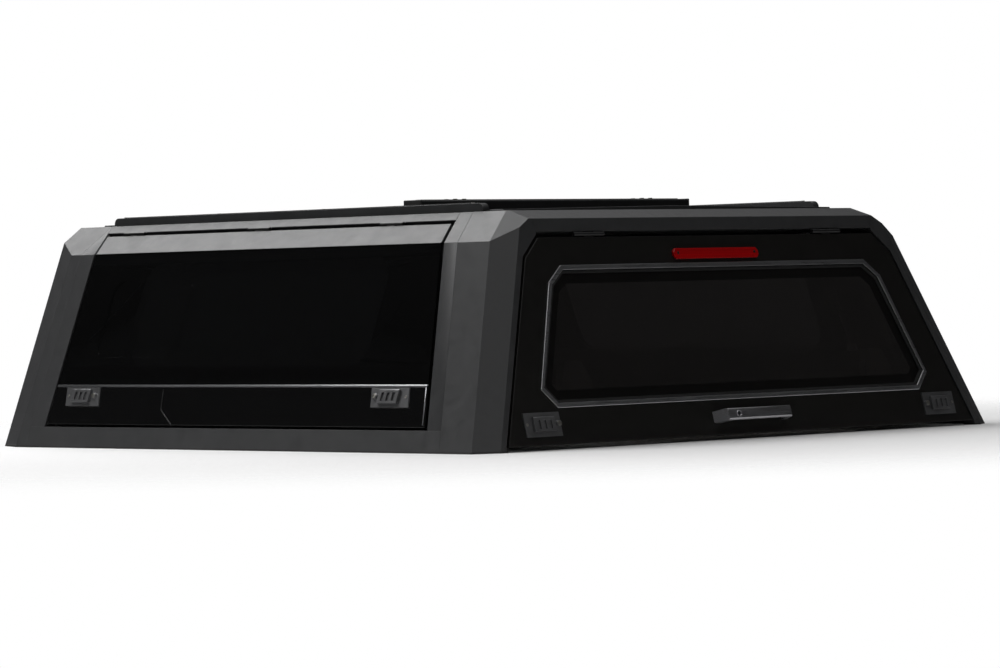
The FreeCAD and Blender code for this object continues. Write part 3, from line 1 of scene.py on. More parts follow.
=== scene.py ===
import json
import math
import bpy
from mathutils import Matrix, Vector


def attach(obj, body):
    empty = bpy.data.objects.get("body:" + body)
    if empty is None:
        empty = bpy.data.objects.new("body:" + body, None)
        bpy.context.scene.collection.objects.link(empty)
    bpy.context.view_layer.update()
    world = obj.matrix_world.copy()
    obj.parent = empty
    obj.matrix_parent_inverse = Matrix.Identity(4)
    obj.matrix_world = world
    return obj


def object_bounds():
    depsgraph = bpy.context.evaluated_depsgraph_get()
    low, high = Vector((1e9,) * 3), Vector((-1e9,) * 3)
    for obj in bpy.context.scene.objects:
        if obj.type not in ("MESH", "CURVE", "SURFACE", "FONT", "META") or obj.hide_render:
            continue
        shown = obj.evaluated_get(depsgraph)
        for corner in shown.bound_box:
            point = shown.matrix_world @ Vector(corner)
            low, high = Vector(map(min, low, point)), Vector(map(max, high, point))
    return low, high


bl_info = {
    "name": "Truck Canopy Looks",
    "version": (1, 0, 0),
    "blender": (4, 5, 0),
    "location": "View3D > Sidebar > Canopy",
    "description": "Finishes, small fittings and a plain studio for the pickup truck canopy",
    "category": "Object",
}

import bpy
from bpy.props import FloatProperty, FloatVectorProperty, PointerProperty
from mathutils import Matrix, Quaternion, Vector

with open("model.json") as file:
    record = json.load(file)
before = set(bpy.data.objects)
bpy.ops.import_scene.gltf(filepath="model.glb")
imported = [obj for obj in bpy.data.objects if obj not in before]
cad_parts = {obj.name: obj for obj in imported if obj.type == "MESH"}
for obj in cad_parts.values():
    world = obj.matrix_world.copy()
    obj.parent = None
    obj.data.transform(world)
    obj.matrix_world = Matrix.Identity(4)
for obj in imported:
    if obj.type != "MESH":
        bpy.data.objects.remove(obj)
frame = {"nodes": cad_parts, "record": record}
NODES = frame["nodes"]
RECORD = frame["record"]
CAD_LOW, CAD_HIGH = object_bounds()
SIDES = ((-1, "left"), (1, "right"))

# Colours of the Mix node are on these sockets once it mixes colours.
MIX_FIRST, MIX_SECOND, MIX_RESULT = 6, 7, 2

# The body's planes in metres: where they meet the base, and how far they lean in per metre of height.
SHOULDER_INSET, SHOULDER_HEIGHT = 0.19, 0.47
BASE_HALF, SIDE_LEAN = CAD_HIGH[0], SHOULDER_INSET / SHOULDER_HEIGHT
REAR_FACE, REAR_LEAN = CAD_HIGH[1], 0.261
# Where the side doors' rear edge would meet the base.
DOOR_REAR_FOOT = -0.6805


def colour(name, description, default):
    return FloatVectorProperty(name=name, description=description, subtype="COLOR", size=3, min=0, max=1,
                               default=default)


def length(name, description, default):
    return FloatProperty(name=name, description=description, subtype="DISTANCE", unit="LENGTH", min=0,
                         default=default)


def power(name, description, default):
    return FloatProperty(name=name, description=description, subtype="POWER", min=0, default=default)


class CanopyFinishes(bpy.types.PropertyGroup):
    """Colours and gloss of the canopy's finishes."""

    powder: colour("Powder coat", "Charcoal of the frame and the grey facets", (0.040, 0.0405, 0.042))
    door: colour("Rear door coat", "Satin black of the rear door", (0.0105, 0.0098, 0.009))
    enamel: colour("Gloss enamel", "Gloss black of the side doors' lower panels", (0.0015, 0.0015, 0.0016))
    glass: colour("Side glass tint", "What the side doors' smoked glass lets through", (0.02, 0.0205, 0.0215))
    rear_glass: colour("Rear glass tint", "What the rear window's glass lets through", (0.085, 0.078, 0.075))
    trim: colour("Trim", "Light metal of the window trim and the handle", (0.6, 0.6, 0.62))
    black: colour("Black fittings", "Hinges, strut tubes and roof bar", (0.012, 0.012, 0.0125))
    lens: colour("Lamp lens", "Red of the brake light", (0.52, 0.0015, 0.003))
    latch: colour("Latch", "Cast metal of the latch plates and paddles", (0.19, 0.191, 0.196))
    zinc: colour("Zinc", "Plated brackets and studs", (0.42, 0.41, 0.38))
    chrome: colour("Rod", "Polished strut rods", (0.62, 0.62, 0.63))
    rubber: colour("Rubber", "Seals and gaskets", (0.012, 0.012, 0.012))
    grain: length("Powder grain", "Size of the powder coat's grain", 0.0016)
    panel_edge: length("Panel edges", "Rounding of the frame's and the doors' edges", 0.0013)
    fitting_edge: length("Fitting edges", "Rounding of the edges of latches and thin panels", 0.0006)


class CanopyStage(bpy.types.PropertyGroup):
    """The studio: floor, lamps and camera."""

    floor: colour("Floor", "Pale floor", (0.93, 0.93, 0.93))
    floor_reach: length("Floor reach", "Where the floor begins to fade into the backdrop", 0.95)
    key: power("Top lamp", "Power of the soft lamp overhead", 52)
    side: power("Side lamp", "Power of the soft lamp high on the left", 165)
    back: power("Back lamp", "Power of the soft lamp beyond the canopy", 150)
    rear: power("Rear lamp", "Power of the soft lamp high behind the rear door", 56)
    far: power("Right lamp", "Power of the soft lamp high on the right", 13)
    lens: FloatProperty(name="Lens", description="Focal length of the camera in millimetres", unit="CAMERA",
                        min=10, default=158)


def node(tree, kind, inputs=None, **settings):
    """A new node. An input takes a value, or another node's socket to be linked to."""
    made = tree.nodes.new(kind)
    for name, value in settings.items():
        setattr(made, name, value)
    for name, value in (inputs or {}).items():
        if isinstance(value, bpy.types.NodeSocket):
            tree.links.new(value, made.inputs[name])
        else:
            made.inputs[name].default_value = value
    return made


def math_node(tree, operation, first, second=0.0):
    return node(tree, "ShaderNodeMath", {0: first, 1: second}, operation=operation).outputs[0]


def span(tree, value, low, high, from_low=0.0, from_high=1.0):
    """A value moved from one range to another, held at its ends."""
    return node(tree, "ShaderNodeMapRange", {"Value": value, "From Min": from_low, "From Max": from_high,
                                             "To Min": low, "To Max": high}).outputs["Result"]


def mix(tree, factor, first, second):
    colours = [c if isinstance(c, bpy.types.NodeSocket) else (*c, 1) for c in (first, second)]
    return node(tree, "ShaderNodeMix", {0: factor, MIX_FIRST: colours[0], MIX_SECOND: colours[1]},
                data_type="RGBA").outputs[MIX_RESULT]


def tinted(shade, share):
    """The same colour, lighter or darker."""
    return tuple(min(1.0, channel * share) for channel in shade)


def new_group(name, inputs, outputs):
    """A node group of numbers, with the sockets that it takes in and gives out."""
    group = bpy.data.node_groups.new(name, "ShaderNodeTree")
    for label, value in inputs.items():
        socket = group.interface.new_socket(name=label, in_out="INPUT", socket_type="NodeSocketFloat")
        socket.default_value = value
    for label in outputs:
        group.interface.new_socket(name=label, in_out="OUTPUT", socket_type="NodeSocketFloat")
    return group, node(group, "NodeGroupInput").outputs, node(group, "NodeGroupOutput").inputs


def use_group(tree, name, inputs):
    placed = node(tree, "ShaderNodeGroup", node_tree=bpy.data.node_groups[name])
    for label, value in inputs.items():
        placed.inputs[label].default_value = value
    return placed.outputs


def noise(tree, coords, scale, detail=2.0, roughness=0.5):
    return node(tree, "ShaderNodeTexNoise", {"Vector": coords, "Scale": scale, "Detail": detail,
                                             "Roughness": roughness}).outputs["Fac"]


def object_coords(tree):
    return node(tree, "ShaderNodeTexCoord").outputs["Object"]


def make_grain_group():
    """Powder coat: a fine grain over a faint waviness, and a mottle for colour and gloss."""
    sizes = {"Grain Size": 0.0016, "Wave Size": 0.09}
    group, given, result = new_group("Powder grain", sizes, ["Height", "Mottle"])
    coords = object_coords(group)
    per_grain = math_node(group, "DIVIDE", 1.0, given["Grain Size"])
    per_wave = math_node(group, "DIVIDE", 1.0, given["Wave Size"])
    fine = noise(group, coords, per_grain, detail=3.0, roughness=0.6)
    pits = node(group, "ShaderNodeTexVoronoi", {"Vector": coords, "Scale": per_grain}, feature="SMOOTH_F1")
    waves = noise(group, coords, per_wave)
    both = math_node(group, "ADD", fine, math_node(group, "MULTIPLY", pits.outputs["Distance"], 0.5))
    group.links.new(math_node(group, "ADD", both, math_node(group, "MULTIPLY", waves, 0.8)), result["Height"])
    patches = noise(group, coords, math_node(group, "MULTIPLY", per_wave, 3.0), detail=5.0, roughness=0.62)
    group.links.new(span(group, patches, 0.0, 1.0, 0.3, 0.7), result["Mottle"])


def make_dust_group():
    """Settled dust: a mask that gathers low down and in patches, as on a part that stands outdoors."""
    group, given, result = new_group("Settled dust", {"Amount": 0.2, "Reach": 0.12}, ["Mask"])
    coords = object_coords(group)
    height = node(group, "ShaderNodeSeparateXYZ", {"Vector": coords}).outputs["Z"]
    low = span(group, height, 1.0, 0.25, from_high=given["Reach"])
    specks = span(group, noise(group, coords, 210.0, detail=4.0, roughness=0.7), 0.0, 1.0, 0.5, 0.8)
    clouds = span(group, noise(group, coords, 7.0, detail=3.0), 0.0, 1.0, 0.35, 0.75)
    spread = math_node(group, "MULTIPLY", math_node(group, "ADD", specks, clouds), low)
    group.links.new(math_node(group, "MULTIPLY", spread, given["Amount"]), result["Mask"])


def make_brushed_group():
    """Fine lines along one direction, for plated and turned metal."""
    group, given, result = new_group("Fine lines", {"Along": 12.0, "Across": 900.0}, ["Height", "Streak"])
    coords = object_coords(group)
    stretch = node(group, "ShaderNodeCombineXYZ", {"X": given["Along"], "Y": given["Across"],
                                                   "Z": given["Across"]}).outputs[0]
    stretched = node(group, "ShaderNodeVectorMath", {0: coords, 1: stretch}, operation="MULTIPLY").outputs[0]
    lines = noise(group, stretched, 1.0, detail=3.0, roughness=0.65)
    group.links.new(lines, result["Height"])
    group.links.new(span(group, lines, 0.0, 1.0, 0.3, 0.7), result["Streak"])


def new_material(name):
    material = bpy.data.materials.new(name)
    material.use_nodes = True
    material.node_tree.nodes.clear()
    return material, material.node_tree


def close_material(tree, surface):
    node(tree, "ShaderNodeOutputMaterial", {"Surface": surface})


# Settled dust: its colour, and how much rougher it makes what it lies on.
DUST_COLOUR, DUST_ROUGHNESS = (0.30, 0.29, 0.27), 0.6
# Height of the powder's relief as a share of its grain.
GRAIN_RELIEF = 0.25


def coated(name, shade, roughness, grain, bump, dust, plain=None):
    """Paint or powder on metal. plain holds what is the same all over the surface."""
    material, tree = new_material(name)
    powder = use_group(tree, "Powder grain", {"Grain Size": grain})
    settled = use_group(tree, "Settled dust", {"Amount": dust})
    base = mix(tree, powder["Mottle"], tinted(shade, 0.9), tinted(shade, 1.1))
    dusty = mix(tree, settled["Mask"], base, DUST_COLOUR)
    gloss = span(tree, powder["Mottle"], roughness - 0.04, roughness + 0.05)
    rough = math_node(tree, "ADD", gloss, math_node(tree, "MULTIPLY", settled["Mask"], DUST_ROUGHNESS))
    relief = node(tree, "ShaderNodeBump", {"Height": powder["Height"], "Strength": bump,
                                           "Distance": grain * GRAIN_RELIEF})
    surface = node(tree, "ShaderNodeBsdfPrincipled", {"Base Color": dusty, "Roughness": rough,
                                                      "Normal": relief.outputs["Normal"], **(plain or {})})
    close_material(tree, surface.outputs[0])
    return material


def metal(name, shade, roughness, along, across):
    """Bare or plated metal with fine lines."""
    material, tree = new_material(name)
    lines = use_group(tree, "Fine lines", {"Along": along, "Across": across})
    base = mix(tree, lines["Streak"], tinted(shade, 0.86), tinted(shade, 1.08))
    rough = span(tree, lines["Streak"], roughness - 0.06, roughness + 0.08)
    relief = node(tree, "ShaderNodeBump", {"Height": lines["Height"], "Strength": 0.12, "Distance": 0.0002})
    surface = node(tree, "ShaderNodeBsdfPrincipled", {"Base Color": base, "Roughness": rough, "Metallic": 1.0,
                                                      "Normal": relief.outputs["Normal"]})
    close_material(tree, surface.outputs[0])
    return material


def smoked_glass(name, shade):
    """Tinted safety glass with faint wiping marks."""
    material, tree = new_material(name)
    settled = use_group(tree, "Settled dust", {"Amount": 0.05, "Reach": 0.3})
    wiped = noise(tree, object_coords(tree), 9.0, detail=4.0, roughness=0.6)
    rough = math_node(tree, "ADD", span(tree, wiped, 0.004, 0.03, 0.35, 0.75), settled["Mask"])
    tint = mix(tree, wiped, tinted(shade, 0.94), tinted(shade, 1.04))
    surface = node(tree, "ShaderNodeBsdfPrincipled", {"Base Color": tint, "Roughness": rough, "IOR": 1.5,
                                                      "Transmission Weight": 1.0})
    close_material(tree, surface.outputs[0])
    return material


def red_plastic(name, shade):
    """Red lens over a row of small reflector cells, with painted shade that darkens each cell towards its
    rim.
    """
    material, tree = new_material(name)
    cells = node(tree, "ShaderNodeTexVoronoi", {"Vector": object_coords(tree), "Scale": 160.0,
                                                "Randomness": 0.0}, feature="F1").outputs["Distance"]
    # Painted shade: the red is darkened towards each cell's rim, as shade in the cells' hollows.
    depth = mix(tree, span(tree, cells, 0.0, 0.5, 0.1, 0.7), shade, tinted(shade, 0.5))
    relief = node(tree, "ShaderNodeBump", {"Height": cells, "Strength": 0.08, "Distance": 0.0004})
    surface = node(tree, "ShaderNodeBsdfPrincipled", {"Base Color": depth, "Roughness": 0.16, "IOR": 1.45,
                                                      "Normal": relief.outputs["Normal"]})
    close_material(tree, surface.outputs[0])
    return material


def make_materials(finishes):
    """The canopy's finishes, each under the name of its slot."""
    make_grain_group()
    make_dust_group()
    make_brushed_group()
    grain = finishes.grain
    return {
        "powder_coat": coated("Charcoal powder coat", finishes.powder, roughness=0.46, grain=grain, bump=0.35,
                              dust=0.02),
        "door_coat": coated("Satin black coat", finishes.door, roughness=0.36, grain=grain * 0.8, bump=0.2,
                            dust=0.008, plain={"Specular IOR Level": 0.35}),
        "gloss_panel": coated("Gloss black enamel", finishes.enamel, roughness=0.09, grain=grain * 2,
                              bump=0.03, dust=0.004, plain={"Coat Weight": 0.5, "Coat Roughness": 0.03}),
        "tinted_glass": smoked_glass("Smoked glass", finishes.glass),
        "rear_glass": smoked_glass("Rear smoked glass", finishes.rear_glass),
        "trim_metal": metal("Satin trim metal", finishes.trim, roughness=0.32, along=14.0, across=800.0),
        "black_metal": coated("Black fittings", finishes.black, roughness=0.38, grain=grain * 0.6, bump=0.25,
                              dust=0.01),
        "red_lens": red_plastic("Red lens", finishes.lens),
        "latch_metal": coated("Cast latch metal", finishes.latch, roughness=0.4, grain=grain * 0.5, bump=0.35,
                              dust=0.02, plain={"Metallic": 0.75}),
        "zinc_steel": metal("Zinc plated steel", finishes.zinc, roughness=0.36, along=30.0, across=300.0),
        "chrome_rod": metal("Polished rod", finishes.chrome, roughness=0.12, along=40.0, across=600.0),
        "seal_rubber": coated("Seal rubber", finishes.rubber, roughness=0.62, grain=grain * 0.5, bump=0.3,
                              dust=0.05),
    }


def box_of(name):
    """The low and the high corner of a node of the frame."""
    points = [vertex.co for vertex in NODES[name].data.vertices]
    return [Vector([pick(point[axis] for point in points) for axis in range(3)]) for pick in (min, max)]


def deselect():
    if bpy.context.mode != "OBJECT":
        bpy.ops.object.mode_set(mode="OBJECT")
    bpy.ops.object.select_all(action="DESELECT")


def choose(piece):
    """Select one object alone and make it active."""
    deselect()
    piece.select_set(True)
    bpy.context.view_layer.objects.active = piece


def turn_to(along, out):
    """The turn whose X runs along a direction and whose Z leaves a surface."""
    z = Vector(out).normalized()
    x = Vector(along).normalized()
    return Matrix((x, z.cross(x), z)).transposed()


def settle():
    """Put the active object's place, turn and scale into its mesh."""
    bpy.ops.object.transform_apply(location=True, rotation=True, scale=True)
    return bpy.context.object


def block(wide, deep, tall, place, turn=None):
    """A block at its place. Its sizes are along its own X, Y and Z."""
    deselect()
    rotation = turn.to_euler() if turn else (0, 0, 0)
    bpy.ops.mesh.primitive_cube_add(size=1, location=place, rotation=rotation, scale=(wide, deep, tall))
    return settle()


def disc(radius, tall, sides):
    """A cylinder that stands on the origin."""
    deselect()
    bpy.ops.mesh.primitive_cylinder_add(vertices=sides, radius=radius, depth=tall, location=(0, 0, tall / 2))
    return settle()


def modify(piece, kind, **settings):
    """A modifier that is applied at once."""
    choose(piece)
    modifier = piece.modifiers.new(kind.title(), kind)
    for name, value in settings.items():
        setattr(modifier, name, value)
    bpy.ops.object.modifier_apply(modifier=modifier.name)


def soften(piece, width, angle=30, segments=2):
    """Round the edges that turn by more than an angle in degrees."""
    modify(piece, "BEVEL", width=width, segments=segments, limit_method="ANGLE",
           angle_limit=math.radians(angle))


def select_faces(piece, test):
    """Select the faces that pass a test of their centre and normal, and enter edit mode on them."""
    choose(piece)
    bpy.ops.object.mode_set(mode="EDIT")
    bpy.ops.mesh.select_mode(type="FACE")
    bpy.ops.mesh.select_all(action="DESELECT")
    bpy.ops.object.mode_set(mode="OBJECT")
    for face in piece.data.polygons:
        face.select = test(face.center, face.normal)
    bpy.ops.object.mode_set(mode="EDIT")


def sink(depth):
    """Extrude the chosen faces down by a depth, or up by a negative one."""
    bpy.ops.mesh.extrude_region_move(TRANSFORM_OT_translate={"value": (0, 0, -depth)})


def flat_band(corners, band, thick, open_at=None):
    """A band inside an outline of corners. open_at picks the sides to leave out.

    It thickens against the outline's normal, or along it where thick is negative.
    """
    deselect()
    bpy.ops.mesh.primitive_circle_add(vertices=len(corners), radius=1, fill_type="NGON")
    made = bpy.context.object
    for vertex, corner in zip(made.data.vertices, corners):
        vertex.co = corner
    made.data.update()
    select_faces(made, lambda centre, normal: True)
    bpy.ops.mesh.inset(thickness=band)
    bpy.ops.mesh.delete(type="FACE")
    if open_at:
        select_faces(made, lambda centre, normal: open_at(centre))
        bpy.ops.mesh.delete(type="FACE")
    bpy.ops.object.mode_set(mode="OBJECT")
    modify(made, "SOLIDIFY", thickness=thick, offset=-1)
    return made


def joined(pieces):
    """Several objects made one."""
    deselect()
    for piece in pieces:
        piece.select_set(True)
    bpy.context.view_layer.objects.active = pieces[0]
    if len(pieces) > 1:
        bpy.ops.object.join()
    return bpy.context.object


def placed_copies(model, places, along=(1, 0, 0)):
    """Copies of a model that stands on Z, each at a point and facing out of a surface, made one object."""
    copies = []
    for point, out in places:
        copy = model.copy()
        copy.data = model.data.copy()
        bpy.context.collection.objects.link(copy)
        up = Vector(out).normalized()
        side = Vector(along) - up * Vector(along).dot(up)
        copy.matrix_world = Matrix.Translation(point) @ turn_to(side, up).to_4x4()
        copies.append(copy)
    bpy.data.objects.remove(model)
    joined(copies)
    return settle()


# Faces that meet at less than this angle in degrees are shaded as one.
SMOOTH_ANGLE = 35


def finish_piece(piece, name, body, slot):
    """Shade a piece, give it its finish and let it ride on its body."""
    choose(piece)
    bpy.ops.object.mode_set(mode="EDIT")
    bpy.ops.mesh.select_all(action="SELECT")
    bpy.ops.mesh.normals_make_consistent(inside=False)
    bpy.ops.object.mode_set(mode="OBJECT")
    bpy.ops.object.shade_smooth_by_angle(angle=math.radians(SMOOTH_ANGLE))
    piece.name = name
    piece.data.name = name
    piece.data.materials.clear()
    piece.data.materials.append(bpy.data.materials[FINISH_OF[slot]])
    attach(piece, body)


def side_normal(side):
    return Vector((side, 0, SIDE_LEAN)).normalized()


def on_side(side, along, height, out=0.0):
    """A point on a side's lower plane, moved out of it."""
    return Vector((side * (BASE_HALF - SIDE_LEAN * height), along, height)) + side_normal(side) * out


def rear_normal():
    return Vector((0, -1, REAR_LEAN)).normalized()


def on_rear(across, height, out=0.0):
    """A point on the rear plane, moved out of it."""
    return Vector((across, -REAR_FACE + REAR_LEAN * height, height)) + rear_normal() * out


def door_rear_edge(height, shift=0.0):
    """Where a side door's leaning rear edge lies at a height."""
    return DOOR_REAR_FOOT + shift + REAR_LEAN * height


def both_halves(half):
    """An outline from the half that lies on the right, given from its top to its foot."""
    return list(half) + [(-x, z) for x, z in reversed(half)]


FINISH_OF = {}
SOFT_SLOTS = {"powder_coat": "panel_edge", "door_coat": "panel_edge", "trim_metal": "panel_edge",
              "red_lens": "panel_edge", "gloss_panel": "fitting_edge", "latch_metal": "fitting_edge"}
# Edge rounding: corners of the mesh this near are one, and faces this flat to each other in degrees are one.
WELD_REACH, FLAT_ANGLE = 0.00002, 1
# Edges that turn by more than this in degrees are rounded.
EDGE_ANGLE = 20


class CANOPY_OT_finishes(bpy.types.Operator):
    """Give every part of the canopy its finish"""

    bl_idname = "canopy.finishes"
    bl_label = "Finish the Parts"

    def execute(self, context):
        materials = make_materials(context.scene.canopy_finishes)
        FINISH_OF.update({slot: material.name for slot, material in materials.items()})
        for part in RECORD["subparts"]:
            mesh = NODES[part["node"]].data
            slot = "rear_glass" if part["node"] == "rear_window_glass" else part["material_slot"]
            mesh.materials.clear()
            mesh.materials.append(materials[slot])
        return {"FINISHED"}


class CANOPY_OT_edges(bpy.types.Operator):
    """Round the edges of the folded panels and the fittings"""

    bl_idname = "canopy.edges"
    bl_label = "Round the Edges"

    def execute(self, context):
        finishes = context.scene.canopy_finishes
        for part in RECORD["subparts"]:
            if part["material_slot"] not in SOFT_SLOTS:
                continue
            piece = NODES[part["node"]]
            weld = piece.modifiers.new("Joined corners", "WELD")
            weld.merge_threshold = WELD_REACH
            whole = piece.modifiers.new("Whole faces", "DECIMATE")
            whole.decimate_type = "DISSOLVE"
            whole.angle_limit = math.radians(FLAT_ANGLE)
            edge = piece.modifiers.new("Soft edges", "BEVEL")
            edge.width = getattr(finishes, SOFT_SLOTS[part["material_slot"]])
            edge.segments = 2
            edge.limit_method = "ANGLE"
            edge.angle_limit = math.radians(EDGE_ANGLE)
        return {"FINISHED"}


# Belt trim: the strip's height on the door, its front end, its gap at the door's rear edge and its section.
BELT_HEIGHT, BELT_FRONT, BELT_GAP, BELT_WIDE, BELT_THICK = 0.1485, 0.686, 0.002, 0.0055, 0.0016
# Painted highlight: a light strip standing at the door's rear edge, where the gloss panel's edge catches
# light. Its foot, its distance from the edge and its section.
HIGHLIGHT_STRIP_FOOT, HIGHLIGHT_STRIP_GAP, HIGHLIGHT_STRIP_WIDE, HIGHLIGHT_STRIP_THICK = 0.062, 0.006, 0.003, 0.001


class CANOPY_OT_belt_trims_and_highlights(bpy.types.Operator):
    """Light strips between each side door's glass and its lower panel, and a painted highlight: a light strip
    up the lower panel's rear edge
    """

    bl_idname = "canopy.belt_trims"
    bl_label = "Add Belt Trims"

    def execute(self, context):
        for side, name in SIDES:
            out = side_normal(side)
            rear = door_rear_edge(BELT_HEIGHT, BELT_GAP)
            middle = on_side(side, (BELT_FRONT + rear) / 2, BELT_HEIGHT, BELT_THICK / 2)
            strip = block(BELT_FRONT - rear, BELT_WIDE, BELT_THICK, middle, turn_to((0, 1, 0), out))
            # The strip up the panel's rear edge is a painted highlight: light metal where the gloss panel's
            # edge catches light.
            foot, head = [on_side(side, door_rear_edge(height, HIGHLIGHT_STRIP_GAP), height, HIGHLIGHT_STRIP_THICK / 2)
                          for height in (HIGHLIGHT_STRIP_FOOT, BELT_HEIGHT)]
            lean = head - foot
            highlight_strip = block(lean.length, HIGHLIGHT_STRIP_WIDE, HIGHLIGHT_STRIP_THICK, (head + foot) / 2, turn_to(lean, out))
            both = joined([strip, highlight_strip])
            soften(both, 0.0005)
            finish_piece(both, f"{name}_belt_trim", f"{name}_door", "trim_metal")
        return {"FINISHED"}


# Door seals: their depth behind the side's plane, their outline on it and their section.
SEAL_DEPTH, SEAL_FOOT, SEAL_HEAD, SEAL_FRONT, SEAL_REAR_GAP = 0.0305, 0.052, 0.434, 0.6925, -0.007
SEAL_WIDE, REAR_SEAL_WIDE, SEAL_THICK = 0.011, 0.010, 0.0035
# The rear door's seal: half of its outline, from its top to its foot, and its depth behind the rear plane.
REAR_SEAL, REAR_SEAL_DEPTH = ((0.5605, 0.472), (0.6185, 0.4265), (0.789, 0.0165)), 0.0248
# A seal has no upper run, which would lie within this distance of its top.
SEAL_OPEN, REAR_SEAL_OPEN = 0.02, 0.012


class CANOPY_OT_seals(bpy.types.Operator):
    """Rubber seals on the frame's lips behind the side doors, and on the rear door's back"""

    bl_idname = "canopy.seals"
    bl_label = "Add Door Seals"

    def execute(self, context):
        for side, name in SIDES:
            rear_foot = door_rear_edge(SEAL_FOOT, SEAL_REAR_GAP)
            rear_head = door_rear_edge(SEAL_HEAD, SEAL_REAR_GAP)
            outline = [(SEAL_FRONT, SEAL_FOOT), (SEAL_FRONT, SEAL_HEAD), (rear_head, SEAL_HEAD),
                       (rear_foot, SEAL_FOOT)]
            corners = [on_side(side, along, height, -SEAL_DEPTH) for along, height in outline]
            if side < 0:
                corners.reverse()
            top = SEAL_HEAD - SEAL_OPEN
            loop = flat_band(corners, SEAL_WIDE, -SEAL_THICK, lambda centre: centre.z > top)
            soften(loop, 0.0012)
            finish_piece(loop, f"{name}_door_seal", "frame", "seal_rubber")
        corners = [on_rear(x, z, -REAR_SEAL_DEPTH) for x, z in both_halves(REAR_SEAL)]
        top = REAR_SEAL[0][1] - REAR_SEAL_OPEN
        loop = flat_band(corners, REAR_SEAL_WIDE, -SEAL_THICK, lambda centre: centre.z > top)
        soften(loop, 0.001)
        finish_piece(loop, "rear_door_seal", "rear_door", "seal_rubber")
        return {"FINISHED"}


# The rear window trim's outer corners as half widths and heights, from its top to its foot.
TRIM_CORNERS = ((0.520, 0.413), (0.569, 0.374), (0.662, 0.135), (0.620, 0.093))
# When the outline shrinks by one, a cut corner's ends move by one and, the other way, by this share.
CUT_SHARE = 0.4
# Bands on the rear window: how far inside the trim, how deep, how wide and how thick.
PRINTED_BAND = (0.0115, 0.0104, 0.03, 0.0006)
RUBBER_BAND = (0.0112, 0.0052, 0.007, 0.004)
# The front window's gasket: its lap inside the glass's edge, its face before the glass, and its section.
GASKET_LAP, GASKET_FACE, GASKET_WIDE, GASKET_THICK = 0.0005, 0.0027, 0.012, 0.003


def rear_window_band(inside, depth, wide, thick):
    """A band that follows the rear window's eight corners."""
    moves = ((CUT_SHARE, 1), (1, CUT_SHARE), (1, -CUT_SHARE), (CUT_SHARE, -1))
    half = [(x - inside * across, z - inside * up) for (x, z), (across, up) in zip(TRIM_CORNERS, moves)]
    return flat_band([on_rear(x, z, -depth) for x, z in both_halves(half)], wide, thick)


class CANOPY_OT_glass_bands(bpy.types.Operator):
    """Black printed bands and rubber gaskets round the rear and the front window"""

    bl_idname = "canopy.glass_bands"
    bl_label = "Add Window Bands"

    def execute(self, context):
        finish_piece(rear_window_band(*PRINTED_BAND), "rear_window_band", "rear_door", "seal_rubber")
        gasket = rear_window_band(*RUBBER_BAND)
        soften(gasket, 0.0008)
        finish_piece(gasket, "rear_window_gasket", "rear_door", "seal_rubber")
        low, high = box_of("front_window_glass")
        face = high.y + GASKET_FACE
        left, right = low.x + GASKET_LAP, high.x - GASKET_LAP
        foot, head = low.z + GASKET_LAP, high.z - GASKET_LAP
        corners = [(right, face, foot), (left, face, foot), (left, face, head), (right, face, head)]
        loop = flat_band(corners, GASKET_WIDE, GASKET_THICK)
        soften(loop, 0.0008)
        finish_piece(loop, "front_window_gasket", "frame", "seal_rubber")
        return {"FINISHED"}


# Screws, rivets and bolts: radius and height of the head.
LAMP_SCREW, RIVET, BAR_BOLT, RAIL_BOLT, CATCH_SCREW = ((0.0034, 0.0014), (0.0036, 0.0014), (0.0055, 0.0032),
                                                       (0.0042, 0.0024), (0.0042, 0.0022))
# Half the distance of the lamp's two screws, their height and the lens's face before the rear plane.
LAMP_HALF, LAMP_HEIGHT, LAMP_FACE = 0.131, 0.4345, 0.0068
# Latches: their heights, the faces of a plate and of a lock before the door, and where rivets and locks are.
SIDE_LATCH_HEIGHT, REAR_LATCH_HEIGHT = 0.123, 0.058
PLATE_FACE, LOCK_FACE = 0.0038, 0.0089
SIDE_RIVETS, SIDE_LOCKS = (-0.583, 0.628), (-0.4825, 0.5275)
REAR_RIVET_HALF, REAR_LOCK_HALF = 0.729, 0.633
# Bolts of the bar, four over each foot, and of the rails.
BAR_BOLTS_ACROSS, BAR_BOLTS_ALONG, BAR_BOLT_SUNK = (-0.335, -0.305, 0.305, 0.335), (-0.015, 0.015), 0.0002
RAIL_HALF, RAIL_BOLTS, RAIL_BOLT_SUNK = 0.566, (-0.535, -0.02, 0.36, 0.72), 0.0002
UP = Vector((0, 0, 1))


def screw_model(radius, tall):
    """A round screw head with its socket, standing on Z."""
    head = disc(radius, tall, 20)
    select_faces(head, lambda centre, normal: normal.z > 0.9)
    bpy.ops.mesh.inset(thickness=radius * 0.5)
    sink(tall * 0.6)
    bpy.ops.object.mode_set(mode="OBJECT")
    soften(head, radius * 0.12, angle=40)
    return head


def add_screws(name, body, head, places, slot="zinc_steel"):
    """Screws of one size at their places, as one piece."""
    finish_piece(placed_copies(screw_model(*head), places), name, body, slot)


